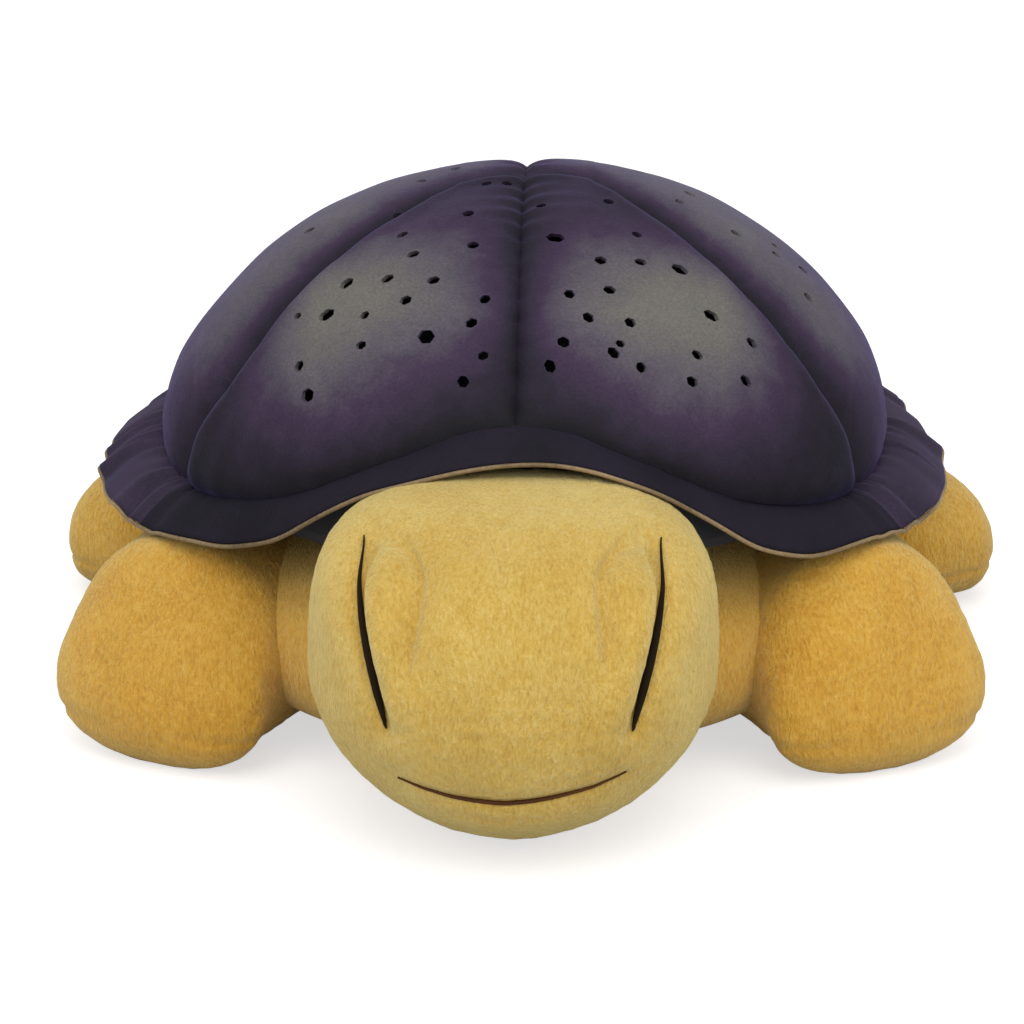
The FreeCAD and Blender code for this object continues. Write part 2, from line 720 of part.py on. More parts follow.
def button_panel():
    """Make the hard panel that stands on the dome and shows through the cover."""
    wall = size("panel_wall")
    high = size("panel_high")
    pitch = size("button_pitch")
    shell = stadium(panel_wide, panel_tall, -6, high)
    hollow = stadium(panel_wide - 2 * wall, panel_tall - 2 * wall, -8, high - wall)
    panel = shell.cut([hollow, dome_outer])
    bores = []
    for name, place in BUTTONS:
        bore = Part.makeCylinder(size("button_radius") + 0.3, 20, Vector(place * pitch, 0, 5))
        bore.Placement = PANEL
        bores.append(bore)
    posts = []
    for sign in (-1, 1):
        post = Part.makeCylinder(2.3, high - wall - 1.6, Vector(sign * 31.6, 0, 1.6))
        post.Placement = PANEL
        posts.append(post)
    soft("button_panel", panel.cut(bores).fuse(posts))


def buttons():
    """Make the four round buttons with their flanges and stems."""
    pitch = size("button_pitch")
    rest = size("panel_high") - size("panel_wall")
    for name, place in BUTTONS:
        body = doc.addObject("PartDesign::Body", f"{name}_button")
        keep(body, f"{name}_button")
        profile = new_sketch(body, f"{name}_button_profile", "XZ_Plane")
        outline(profile, [("0", "0"), ("2", "0"), ("2", "2.4"),
                          ("Sizes.button_radius + 0.7", "2.4"),
                          ("Sizes.button_radius + 0.7", "3.4"), ("Sizes.button_radius", "3.4"),
                          ("Sizes.button_radius", "6.6"), ("Sizes.button_radius - 1.2", "7.4"),
                          ("0", "7.7")])
        turn(body, profile)
        body.Placement = PANEL.multiply(Placement(Vector(place * pitch, 0, rest - 3.7), Rotation()))


def switches():
    """Make the switch board under the buttons, its four switches and its screws."""
    pitch = size("button_pitch")
    board = Part.makeBox(62, 9.6, 1.6, Vector(-31, -4.8, 0))
    board.Placement = PANEL
    soft("switch_board", board)
    solids = []
    for name, place in BUTTONS:
        case = Part.makeBox(6, 6, 2.4, Vector(place * pitch - 3, -3, 1.6))
        plunger = Part.makeCylinder(1.6, 0.8, Vector(place * pitch, 0, 4.0))
        solids.append(case.fuse(plunger))
        solids[-1].Placement = PANEL
    group = Part.makeCompound(solids)
    soft("tact_switches", group)


cover_panels()
star_dome()
stuffed_pieces()
brims()
base_plate()
battery_housing()
battery_door()
battery_cells()
contacts()
lamp()
boards_and_screws()
button_panel()
buttons()
switches()

doc.recompute()

for thing in doc.Objects:
    if "Invalid" in thing.State or "Error" in thing.State:
        raise RuntimeError(f"{thing.Label} did not compute: {thing.State}")

os.makedirs("parts", exist_ok=True)
for thing in subparts:
    if thing.Shape.isNull() or not thing.Shape.isValid():
        raise RuntimeError(f"{thing.Label} has no sound shape")
    thing.Shape.exportStep(f"parts/{thing.Label}.step")
print(len(subparts), "pieces written")
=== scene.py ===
"""Studio picture of a plush turtle night light with a pierced fabric shell.

Lengths are written in millimetres in the toy's own frame, as its CAD model has them, and
turned to metres where a mesh is finished.
"""

import logging
import math
from abc import ABC, abstractmethod
from dataclasses import dataclass, field
from enum import Enum
from functools import partial
from typing import Callable, Sequence

import bmesh
import bpy
import numpy as np
from bmesh.types import BMesh
from bpy.types import ID, Material, Mesh, Modifier, Node, NodeSocket, NodeTree, Object
from mathutils import Matrix, Vector
from mathutils.bvhtree import BVHTree


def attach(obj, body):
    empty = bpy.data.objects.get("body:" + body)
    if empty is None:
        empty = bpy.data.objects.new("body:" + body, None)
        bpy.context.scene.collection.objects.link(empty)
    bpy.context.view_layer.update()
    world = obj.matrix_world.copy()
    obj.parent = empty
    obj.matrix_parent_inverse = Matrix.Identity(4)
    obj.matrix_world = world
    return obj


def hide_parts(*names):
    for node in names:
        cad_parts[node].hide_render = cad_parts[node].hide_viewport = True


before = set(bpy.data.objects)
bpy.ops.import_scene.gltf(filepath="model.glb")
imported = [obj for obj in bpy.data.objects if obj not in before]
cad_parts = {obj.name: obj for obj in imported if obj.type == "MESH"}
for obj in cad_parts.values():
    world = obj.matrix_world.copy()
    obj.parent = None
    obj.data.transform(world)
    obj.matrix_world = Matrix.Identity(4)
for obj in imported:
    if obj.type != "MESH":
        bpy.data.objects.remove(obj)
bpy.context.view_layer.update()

logging.basicConfig(level=logging.INFO, format="%(message)s")
LOG = logging.getLogger("turtle_light")

MM = 0.001
TOY = "toy"
# Edges that turn more than this stay sharp where a piece was cut.
SHARP_DEG = 50
# Times a direction, this leaves out its height.
LEVEL = np.array([1, 1, 0])

# The shell's main sizes, as the CAD model has them.
SHELL_BACK = 18.0
SHELL_WIDE = 122.0
SHELL_LONG = 130.0
SHELL_RISE = 88.0
SHELL_SPRING = 83.0
REAR_FOOT = SHELL_SPRING - 3.5

Pair = tuple[float, float]
Triple = tuple[float, float, float]
SeamLine = Callable[[np.ndarray], np.ndarray]
AddNode = Callable[..., Node]
# A shader's settings and its links.
Wiring = tuple[dict, dict]


class Side(Enum):
    """Left or right of the toy, as the photograph shows it."""

    LEFT = -1
    RIGHT = 1

    @property
    def word(self) -> str:
        """Return the side's name in lower case."""
        return self.name.lower()


def linear(code: str) -> tuple[float, float, float, float]:
    """Turn an sRGB hex colour into linear light.

    Args:
        code: Six hex digits with a leading hash.

    Returns:
        Red, green, blue and an alpha of one.
    """
    parts = [int(code[place:place + 2], 16) / 255 for place in (1, 3, 5)]
    red, green, blue = (part / 12.92 if part <= 0.04045 else ((part + 0.055) / 1.055) ** 2.4
                        for part in parts)
    return red, green, blue, 1.0


def add_node(tree: NodeTree, kind: str, settings: dict | None = None,
             links: dict | None = None) -> Node:
    """Add one shader node.

    Args:
        tree: The node tree that gets the node.
        kind: The node's type name, without its first word.
        settings: Properties by name, socket values by number or capitalised name, and a
            colour ramp's places and hex colours under "stops".
        links: Source sockets, or nodes for their first outputs, by the name or number of
            the input that they feed.

    Returns:
        The new node.
    """
    node = tree.nodes.new(f"ShaderNode{kind}")
    for key, value in (settings or {}).items():
        if key == "stops":
            elements = node.color_ramp.elements
            while len(elements) < len(value):
                elements.new(0.5)
            for element, (place, code) in zip(elements, value):
                element.position = place
                element.color = linear(code)
        elif isinstance(key, int) or key[0].isupper():
            node.inputs[key].default_value = value
        else:
            setattr(node, key, value)
    for key, source in (links or {}).items():
        first = source.outputs[0] if isinstance(source, Node) else source
        tree.links.new(first, node.inputs[key])
    return node


def noise(add: AddNode, place: NodeSocket | Node, scale: float, detail: float = 2.0,
          **more: float) -> Node:
    """Add a noise texture.

    Args:
        add: The function that adds a node to the material.
        place: Coordinates in metres.
        scale: How often the noise wanders in a metre.
        detail: How many finer layers it has.
        more: Other socket values by name.

    Returns:
        The noise's node.
    """
    return add("TexNoise", {"Scale": scale, "Detail": detail, **more}, {"Vector": place})


def blend(add: AddNode, strong: NodeSocket | Node, share: float,
          other: NodeSocket | Node) -> Node:
    """Add a node that gives one value times a share, plus another."""
    return add("Math", {"operation": "MULTIPLY_ADD", 1: share}, {0: strong, 2: other})


class Finish(ABC):
    """A material's description, which is built once and shared by its pieces."""

    name: str

    @abstractmethod
    def surface(self, add: AddNode, place: NodeSocket) -> Wiring:
        """Add the finish's nodes.

        Args:
            add: The function that adds a node to the material.
            place: Object coordinates.

        Returns:
            The principled shader's settings and its links.
        """

    def material(self) -> Material:
        """Return the finish's material, which the first call makes."""
        made = bpy.data.materials.get(self.name)
        if made is None:
            made = bpy.data.materials.new(self.name)
            made.use_nodes = True
            made.node_tree.nodes.clear()
            add = partial(add_node, made.node_tree)
            place = add("TexCoord").outputs["Object"]
            shader = add("BsdfPrincipled", *self.surface(add, place))
            add("OutputMaterial", links={"Surface": shader})
        return made


@dataclass(frozen=True)
class ShortPilePlush(Finish):
    """Minky polyester plush: short cut pile that lies in soft clumps and glows at its rims."""

    name: str = "short_pile_plush"
    root_colour: str = "#b58a36"
    pile_colour: str = "#cda850"
    tip_colour: str = "#dfc67c"
    clump_mm: float = 4.0
    # Drawn thicker than the real 0.1 mm yarn, so that it shows.
    fibre_mm: float = 0.95

    def surface(self, add: AddNode, place: NodeSocket) -> Wiring:
        """Colour and raise the pile by stretched noise; see Finish."""
        # Pile leans in broad strokes, so one slow noise bends the finer ones.
        lean = noise(add, place, 18.0)
        bent = add("VectorMath", {"operation": "MULTIPLY_ADD", 1: (0.012,) * 3},
                   {0: lean.outputs["Color"], 2: place})
        stretched = add("Mapping", {"Scale": (1.0, 0.55, 0.36)}, {"Vector": bent})
        clumps = noise(add, stretched, 1 / (self.clump_mm * MM), 4.0, Roughness=0.62)
        fibres = noise(add, stretched, 1 / (self.fibre_mm * MM), 3.0, Roughness=0.7)
        patches = noise(add, place, 26.0, 3.0)
        mixed = blend(add, clumps, 0.35, fibres)
        shade = blend(add, patches, 0.5, mixed)
        tone = add("MapRange", {"From Min": 0.55, "From Max": 1.3}, {"Value": shade})
        stops = ((0.0, self.root_colour), (0.45, self.pile_colour), (1.0, self.tip_colour))
        colour = add("ValToRGB", {"stops": stops}, {"Fac": tone})
        coarse = add("Bump", {"Strength": 0.5, "Distance": 1.2 * MM}, {"Height": clumps})
        fine = add("Bump", {"Strength": 1.0, "Distance": 1.6 * MM},
                   {"Height": fibres, "Normal": coarse})
        return ({"Roughness": 0.92, "Specular IOR Level": 0.15, "Sheen Weight": 0.7,
                 "Sheen Roughness": 0.4, "Sheen Tint": linear("#eef0bc")},
                {"Base Color": colour, "Normal": fine})


@dataclass(frozen=True)
class BrushedVelour(Finish):
    """Brushed polyester velour with a violet sheen; painted shade darkens it into its seams' folds.
    """

    name: str = "brushed_velour"
    # Colours from the painted shade in a seam's fold (0) to the open cloth (1).
    stops: tuple[tuple[float, str], ...] = (
        (0.0, "#0e0c14"), (0.2, "#211929"), (0.42, "#37293f"), (0.66, "#524d55"),
        (0.95, "#64625c"))
    nap_mm: float = 0.9
    crush_mm: float = 9.0

    def surface(self, add: AddNode, place: NodeSocket) -> Wiring:
        """Colour the cloth by its stored painted light and shade, with mottle and nap; see Finish.
        """
        # Painted light and shade, dark in the seams' folds and pale on the lit rims and crown.
        far = add("Attribute", {"attribute_name": "seam_far"})
        cloud = noise(add, place, 22.0, 5.0, Roughness=0.6)
        crushed = noise(add, place, 1 / (self.crush_mm * MM), 4.0, Distortion=0.8)
        mottle = blend(add, crushed, 0.7, cloud)
        drift = blend(add, mottle, 0.32, far.outputs["Fac"])
        # The mottle's mean is taken off again.
        centred = add("Math", {"operation": "SUBTRACT", 1: 0.27}, {0: drift})
        colour = add("ValToRGB", {"stops": self.stops}, {"Fac": centred})
        nap = noise(add, place, 1 / (self.nap_mm * MM), 3.0)
        soft = add("Mix", {"data_type": "RGBA", "blend_type": "OVERLAY", "Factor": 0.45},
                   {6: colour, 7: nap})
        bump = add("Bump", {"Strength": 0.5, "Distance": 0.5 * MM}, {"Height": nap})
        return ({"Roughness": 0.7, "Specular IOR Level": 0.2, "Sheen Weight": 0.36,
                 "Sheen Roughness": 0.3, "Sheen Tint": linear("#7f6fc0")},
                {"Base Color": soft.outputs[2], "Normal": bump})


@dataclass(frozen=True)
class PlainCloth(Finish):
    """Woven or felted cloth in one colour, with its thread spacing in the bump."""

    name: str
    colour: str
    deep_colour: str
    thread_mm: float
    sheen: float
    sheen_colour: str
    roughness: float = 0.8

    def surface(self, add: AddNode, place: NodeSocket) -> Wiring:
        """Vary the colour and raise the threads; see Finish."""
        thread = noise(add, place, 1 / (self.thread_mm * MM))
        cloud = noise(add, place, 30.0, 4.0)
        mixed = blend(add, thread, 0.4, cloud)
        tone = add("MapRange", {"From Min": 0.45, "From Max": 0.95}, {"Value": mixed})
        stops = ((0.0, self.deep_colour), (1.0, self.colour))
        colour = add("ValToRGB", {"stops": stops}, {"Fac": tone})
        bump = add("Bump", {"Strength": 0.4, "Distance": 0.3 * MM}, {"Height": thread})
        return ({"Roughness": self.roughness, "Specular IOR Level": 0.2,
                 "Sheen Weight": self.sheen, "Sheen Roughness": 0.35,
                 "Sheen Tint": linear(self.sheen_colour)},
                {"Base Color": colour, "Normal": bump})


@dataclass(frozen=True)
class MouldedPart(Finish):
    """Injection-moulded plastic, plain metal or board, told apart by its settings."""

    name: str
    colour: str
    roughness: float = 0.45
    metallic: float = 0.0
    grain_depth: float = 0.15
    transmission: float = 0.0
    grain_mm: float = 0.6

    def surface(self, add: AddNode, place: NodeSocket) -> Wiring:
        """Vary the gloss and raise a fine moulded grain; see Finish."""
        grain = noise(add, place, 1 / (self.grain_mm * MM))
        tone = add("MapRange", {"To Min": self.roughness - 0.05, "To Max": self.roughness + 0.08},
                   {"Value": grain})
        bump = add("Bump", {"Strength": self.grain_depth, "Distance": 0.1 * MM},
                   {"Height": grain})
        return ({"Base Color": linear(self.colour), "Metallic": self.metallic,
                 "Transmission Weight": self.transmission},
                {"Roughness": tone, "Normal": bump})


@dataclass(frozen=True)
class MattCard(Finish):
    """White card that glows a little for the camera alone, so it stays white by its shadow."""

    name: str = "matt_white_card"
    colour: str = "#c8c8c8"
    glow: float = 0.62

    def surface(self, add: AddNode, place: NodeSocket) -> Wiring:
        """Light the card for camera rays; see Finish."""
        rays = add("LightPath").outputs["Is Camera Ray"]
        glow = add("Math", {"operation": "MULTIPLY", 1: self.glow}, {0: rays})
        return ({"Base Color": linear(self.colour), "Roughness": 0.9, "Specular IOR Level": 0.1,
                 "Emission Color": linear("#ffffff")}, {"Emission Strength": glow})


PLUSH = ShortPilePlush()
# The same pile in a deeper colour.
LIMB_PLUSH = ShortPilePlush("short_pile_plush_limbs", "#b07826", "#d09b38", "#e4ba5c")
VELOUR = BrushedVelour()
# Pile cloth with a little violet in its gloss, cut for the brim.
BRIM_CLOTH = PlainCloth("brim_velour", "#1e1927", "#0e0b14", 0.9, 0.14, "#8676b4")
# The same cloth, painted lighter along the gathered sides as the light that the gathers catch.
RUFFLE_CLOTH = PlainCloth("ruffle_velour", "#3b3044", "#1a1523", 0.9, 0.24, "#8676b4")
# Woven lining with an olive cast, seen where the brim turns up.
LINING = PlainCloth("brim_lining", "#55564a", "#34352e", 1.0, 0.15, "#b0a888")
# Lurex edging thread, bronze with a dull glitter.
EDGING = PlainCloth("bronze_edging", "#9a8462", "#4c3f30", 1.2, 0.3, "#e8d0a0", 0.45)
FELT = PlainCloth("dark_felt", "#231709", "#120b05", 1.0, 0.0, "#ffffff", 0.95)
THREAD = PlainCloth("brown_thread", "#5a3416", "#3a200c", 0.8, 0.1, "#c89860", 0.7)


def mesh_points(mesh: Mesh) -> np.ndarray:
    """Return a mesh's points as rows of x, y, z."""
    points = np.empty(len(mesh.vertices) * 3)
    mesh.vertices.foreach_get("co", points)
    return points.reshape(-1, 3)


def free_mesh(shape: BMesh, name: str) -> Mesh:
    """Turn a form into a mesh and free the form.

    Args:
        shape: The form.
        name: The mesh's name.

    Returns:
        The mesh.
    """
    mesh = bpy.data.meshes.new(name)
    shape.to_mesh(mesh)
    shape.free()
    return mesh


def add_object(name: str, data: ID) -> Object:
    """Put a new object into the scene.

    Args:
        name: The object's name.
        data: Its mesh, curve, lamp or camera.

    Returns:
        The object.
    """
    thing = bpy.data.objects.new(name, data)
    bpy.context.scene.collection.objects.link(thing)
    return thing


def finish_piece(mesh: Mesh, points: np.ndarray, nodes: Sequence[str],
                 finishes: Sequence[Finish]) -> Object:
    """Turn a mesh in millimetres into a piece of the toy.

    Args:
        mesh: The mesh, whose name the piece takes.
        points: Its points in millimetres.
        nodes: CAD nodes that the piece stands for.
        finishes: The piece's finishes.

    Returns:
        The new object.
    """
    mesh.vertices.foreach_set("co", (points * MM).ravel())
    for finish in finishes:
        mesh.materials.append(finish.material())
    mesh.polygons.foreach_set("use_smooth", [True] * len(mesh.polygons))
    mesh.update()
    piece = add_object(mesh.name, mesh)
    if nodes:
        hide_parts(*nodes)
    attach(piece, TOY)
    LOG.info("%s: %d faces", piece.name, len(mesh.polygons))
    return piece


def thicken(piece: Object, thick_mm: float) -> Modifier:
    """Give a piece a wall inward of its surface.

    Args:
        piece: The piece.
        thick_mm: The wall's thickness in millimetres.

    Returns:
        The modifier that makes the wall.
    """
    wall = piece.modifiers.new("wall", "SOLIDIFY")
    wall.thickness = thick_mm * MM
    wall.offset = -1
    return wall


def carve(piece: Object, cutters: Object) -> None:
    """Cut a piece exactly, with its other modifiers applied, and remove the cutters.

    Args:
        piece: The piece, whose mesh is replaced.
        cutters: What is cut away.

    Raises:
        RuntimeError: Nothing is left of the piece.
    """
    cut = piece.modifiers.new("cut", "BOOLEAN")
    cut.operation = "DIFFERENCE"
    cut.solver = "EXACT"
    cut.object = cutters
    scene_now = bpy.context.evaluated_depsgraph_get()
    carved = bpy.data.meshes.new_from_object(piece.evaluated_get(scene_now))
    if not carved.polygons:
        raise RuntimeError(f"{piece.name} was lost when it was cut")
    carved.set_sharp_from_angle(angle=math.radians(SHARP_DEG))
    piece.modifiers.clear()
    piece.data = carved
    bpy.data.objects.remove(cutters)


def ball_mesh(name: str, steps: int) -> Mesh:
    """Make a unit ball of even triangles.

    Args:
        name: The mesh's name.
        steps: How often the ball's twenty faces are divided, counted from one.

    Returns:
        The mesh.
    """
    shape = bmesh.new()
    bmesh.ops.create_icosphere(shape, subdivisions=steps, radius=1.0)
    return free_mesh(shape, name)


def unit(rows: np.ndarray) -> np.ndarray:
    """Return rows of x, y, z scaled to length one."""
    return rows / np.linalg.norm(rows, axis=1)[:, None]


def between(table: np.ndarray, marks: np.ndarray, places: np.ndarray) -> np.ndarray:
    """Return rows at places between a table's rows.

    Args:
        table: Rows of numbers.
        marks: A rising number for each row.
        places: Numbers in the marks' range.

    Returns:
        One row for each place.
    """
    return np.stack([np.interp(places, marks, column) for column in table.T], axis=1)


def ripple(points: np.ndarray, length_mm: float, seed: float) -> np.ndarray:
    """Return a smooth wandering value from about -1 to 1 at each point.

    Args:
        points: Places in millimetres.
        length_mm: The distance over which the value wanders.
        seed: A number that shifts the pattern.

    Returns:
        One value for each point.
    """
    x, y, z = (points[:, axis] / length_mm * 2.4 + seed * (axis + 1.7) for axis in range(3))
    return (np.sin(x + 1.3 * np.sin(y * 0.9 + seed)) + np.sin(y * 1.1 + 1.7 * np.sin(z * 0.8))
            + np.sin(z * 1.2 + 1.1 * np.sin(x * 1.1 - seed))) / 3


def pile_relief(points: np.ndarray) -> np.ndarray:
    """Return the small ups and downs of combed plush pile, in millimetres."""
    return 0.16 * ripple(points, 3.4, 5.0) + 0.10 * ripple(points, 2.3, 11.0)


def bell(distance: np.ndarray, width: float) -> np.ndarray:
    """Return a smooth bump of height one that fades over a width."""
    return np.exp(-(distance / width) ** 2)


# By the distance from the middle: the cross seam's place along the toy, and the height of the
# shell's front edge.
CROSS_SEAM = ((0, 12, 22, 31, 43, 60, 74, 87, 98, 108, 118, 140),
              (29, 30, 28, 20, 7, -9, -20, -29, -34, -33, -27, -14))
NECK_EDGE = ((0, 8, 20, 36, 57, 80, 92, 104, 113, 140),
             (124, 123.5, 121, 114, 105.5, 95, 90, 85, 81.5, 79.5))


def seam_plan(across: np.ndarray) -> np.ndarray:
    """Return how far back the cross seam runs at distances from the middle."""
    return np.interp(np.abs(across), *CROSS_SEAM)


def neck_level(across: np.ndarray) -> np.ndarray:
    """Return the height of the shell's front edge at distances from the middle."""
    return np.interp(np.abs(across), *NECK_EDGE)


@dataclass
class ShellPanel:
    """One of the four padded panels over the dome, sewn at a middle seam and a cross seam."""

    # Whether the panel is before the cross seam.
    front: bool
    side: Side
    lamp: Vector = field(default_factory=lambda: Vector((0, 24, 100)))
    wall_mm: float = 1.6
    # Depth of each seam's fold and the distance over which it fades, in millimetres.
    middle_fold: Pair = (2.8, 3.2)
    front_cross_fold: Pair = (6.0, 4.0)
    rear_cross_fold: Pair = (6.0, 9.0)
    edge_fold: Pair = (5.0, 5.0)
    puff_mm: float = 1.8
    punch_mm: float = 34.0
    # How far a burnt hole is from round: longer one way, shorter the other, and ragged.
    long_share: float = 0.14
    short_share: float = 0.1
    ragged_share: float = 0.07
    # Holes before the cross seam: across, place along the toy and diameter.
    front_holes: tuple[Triple, ...] = (
        (-17, -9.5, 3.8), (-38, -16, 3.4), (-34, -29.5, 3.7), (-15, -29.5, 3.6),
        (-55.5, -34, 4.5), (-42, -39, 3.9), (-27, -45, 3.6), (-35.5, -51.5, 3.8),
        (-10.5, -56, 3.5), (-61.5, -45, 5), (-72, -37.5, 2.8), (-48.5, -52.5, 3.1),
        (-14.5, -65, 3.6), (-49, -63.5, 3.3), (-28.5, -67.5, 5.1), (-70, -58.5, 3.6),
        (-10.5, -76.5, 3.2), (-66.5, -69.5, 4.7), (-16.5, -83.5, 3.8), (6, -4.5, 3.4),
        (27, 2.5, 3.7), (11, -25.5, 5.4), (36.5, -16.5, 3.3), (25.5, -35, 3.9), (38, -31.5, 3.6),
        (50.5, -29, 5), (16, -53, 3.5), (28.5, -48.5, 3.8), (60.5, -45, 4.6), (22, -61.5, 3.7),
        (35, -60, 3.6), (32, -68.5, 2.7), (30, -72, 3.9), (73.5, -46.5, 3.6), (14.5, -71.5, 3.8),
        (56, -62.5, 3.5), (10.5, -79.5, 3.8), (38.5, -74, 3.4), (54.5, -71.5, 3.7),
        (71.5, -61, 3.6), (-12, 16, 3.3), (-5.5, 16, 3.3))
    # Holes behind it, in the same way.
    rear_holes: tuple[Triple, ...] = (
        (-43, 12, 3.8), (-35, 41, 3.4), (-23.5, 50, 3.7), (-19.5, 30.5, 3.6), (-9.5, 58.5, 3.3),
        (-70.5, 17.5, 3.9), (22, 60, 3.6), (8.5, 33.5, 3.8), (36.5, 54, 3.5), (53.5, 39.5, 3.8),
        (50.5, 24.5, 3.4), (69, 14.5, 3.7), (82, 25, 3), (82, 15.5, 3.3), (91, 19.5, 3.9),
        (92.5, -1, 3.6), (-72, 50, 3.6), (-52, 66, 3.4), (-94, 34, 3.4), (-84, 70, 3.6),
        (-34, 78, 3.6), (76, 66, 3.6), (99, 42, 3.4), (52, 74, 3.4), (-14, 84, 3.6),
        (30, 84, 3.4))

    @property
    def word(self) -> str:
        """Return the word for the panel's place along the toy."""
        return "front" if self.front else "rear"

    def distances(self, points: np.ndarray) -> tuple[np.ndarray, ...]:
        """Measure how far each point lies from the seams and from the lower edge.

        Args:
            points: Places on the shell in millimetres.

        Returns:
            Distances to the middle seam, the cross seam and the lower edge.
        """
        x, y, z = points.T
        middle = np.abs(x)
        slope = np.gradient(seam_plan(np.arange(0, 140.0)))
        lean = np.interp(middle, np.arange(0, 140.0), slope)
        cross = np.abs(y - seam_plan(x)) / np.sqrt(1 + lean ** 2)
        edge = np.clip(z - (neck_level(x) if self.front else REAR_FOOT), 0, None)
        return middle, cross, edge

    def quilt(self, points: np.ndarray) -> np.ndarray:
        """Puff the panel between its seams and gather it beside them.

        Args:
            points: Places on the smooth shell in millimetres.

        Returns:
            The moved points.
        """
        middle, cross, edge = self.distances(points)
        x, y, z = points.T
        outward = unit(np.stack([x / SHELL_WIDE ** 2, (y - SHELL_BACK) / SHELL_LONG ** 2,
                                 (z - SHELL_SPRING) / SHELL_RISE ** 2], axis=1))
        folds = ((middle, self.middle_fold), (edge, self.edge_fold),
                 (cross, self.front_cross_fold if self.front else self.rear_cross_fold))
        # Where seams meet, the deepest of them rules.
        sink = sum((depth * np.exp(-gap / fade)) ** 3 for gap, (depth, fade) in folds) ** (1 / 3)
        crown = 1.0 - np.exp(-np.minimum(np.minimum(middle, cross * 1.3), edge * 1.2) / 24)
        # The front panels' rim over the cross seam stands proud of the fold behind it.
        rim = 1.3 * bell(cross - 7, 5.5) * np.clip(edge / 20, 0, 1) if self.front else 0
        # Puckers cross the middle seam, and gathers stand round the lower edge.
        pucker = (np.sin(y * 0.62 + 2.2 * ripple(points, 40, 3.0)) * 0.75
                  * np.exp(-middle / 9.0) * (0.6 + 0.4 * ripple(points, 24, 5.0)))
        angle = np.arctan2(x, SHELL_BACK - y)
        gather = (np.sin(angle * 58 + 3.0 * ripple(points, 46, 9.0)) * 0.5
                  * np.exp(-edge / 10.0) * (0.5 + 0.5 * ripple(points, 30, 2.0)))
        rumple = 0.7 * ripple(points, 34, 1.0) + 0.3 * ripple(points, 13, 6.0)
        # The soft cover has slid a little: fuller over the crown, slacker low on the left.
        slide = (2.6 * bell(x - 22, 48) * bell(y - 34, 60)
                 - 3.4 * bell(x + 92, 26) * bell(z - 122, 26))
        move = (-sink + self.puff_mm * crown + rim + pucker + gather + slide
                + rumple * (0.4 + 0.6 * crown))
        return points + outward * move[:, None]

    def punches(self) -> Object:
        """Make the panel's hole cutters, each slightly out of round as a burnt hole is.

        Returns:
            One object that holds them all, for cutting only.
        """
        shape = bmesh.new()
        holes = self.front_holes if self.front else self.rear_holes
        for number, (across, back, width) in enumerate(holes):
            if across * self.side.value < 0:
                continue
            fall = 1 - (across / SHELL_WIDE) ** 2 - ((back - SHELL_BACK) / SHELL_LONG) ** 2
            place = Vector((across, back, SHELL_SPRING + SHELL_RISE * math.sqrt(fall)))
            ray = (place - self.lamp).normalized()
            turn = ray.to_track_quat("Z", "Y").to_matrix().to_4x4()
            swing = math.sin(number * 2.3)
            spin = Matrix.Rotation(number * 1.1, 4, "Z") @ Matrix.Diagonal(
                (1 + self.long_share * swing, 1 - self.short_share * swing, 1, 1))
            matrix = Matrix.Translation(place * MM) @ turn @ spin
            radius = width / 2 * MM
            made = bmesh.ops.create_cone(shape, cap_ends=True, segments=18, radius1=radius,
                                         radius2=radius, depth=self.punch_mm * MM,
                                         matrix=matrix)
            for step, corner in enumerate(made["verts"]):
                away = corner.co - place * MM
                away -= ray * away.dot(ray)
                corner.co += away * self.ragged_share * math.sin(step // 2 * 2.1 + number)
        return add_object("hole_punches", free_mesh(shape, "hole_punches"))

    def smooth_mesh(self) -> Mesh:
        """Cut the panel's smooth form out of a ball.

        Returns:
            The panel's mesh in millimetres.
        """
        shape = bmesh.new()
        bmesh.ops.create_icosphere(shape, subdivisions=8, radius=1.0)
        bmesh.ops.scale(shape, vec=(SHELL_WIDE, SHELL_LONG, SHELL_RISE), verts=shape.verts)
        bmesh.ops.translate(shape, vec=(0, SHELL_BACK, SHELL_SPRING), verts=shape.verts)
        origin, up = Vector((0, 0, 0)), Vector((0, 0, 1))
        self.keep_beyond(shape, origin, Vector((self.side.value, 0, 0)))
        self.keep_beyond(shape, up * 70, up)
        self.shear(shape, 1, seam_plan, -1)
        self.keep_beyond(shape, origin, Vector((0, -1 if self.front else 1, 0)))
        self.shear(shape, 1, seam_plan, 1)
        if self.front:
            self.shear(shape, 2, neck_level, -1)
            self.keep_beyond(shape, origin, up)
            self.shear(shape, 2, neck_level, 1)
        else:
            self.keep_beyond(shape, up * REAR_FOOT, up)
        # The cuts leave slivers that would spoil the exact boolean.
        bmesh.ops.remove_doubles(shape, verts=shape.verts, dist=0.12)
        return free_mesh(shape, f"shell_panel_{self.word}_{self.side.word}")

    @staticmethod
    def keep_beyond(shape: BMesh, place: Vector, away: Vector) -> None:
        """Cut a form by a plane and keep what lies on the plane's far side.

        Args:
            shape: The form that is cut.
            place: A point of the plane.
            away: The direction of the side that stays.
        """
        everything = shape.verts[:] + shape.edges[:] + shape.faces[:]
        bmesh.ops.bisect_plane(shape, geom=everything, plane_co=place, plane_no=away,
                               clear_inner=True, dist=1e-4)

    @staticmethod
    def shear(shape: BMesh, axis: int, line: SeamLine, sign: int) -> None:
        """Slide a form along one axis so that a curved seam line becomes straight, or back.

        Args:
            shape: The form that is moved.
            axis: The axis along which points move.
            line: The seam's place along that axis by the distance from the middle.
            sign: Minus one to straighten and one to bend back.
        """
        across = np.array([corner.co.x for corner in shape.verts])
        for corner, amount in zip(shape.verts, line(across) * sign):
            corner.co[axis] += amount

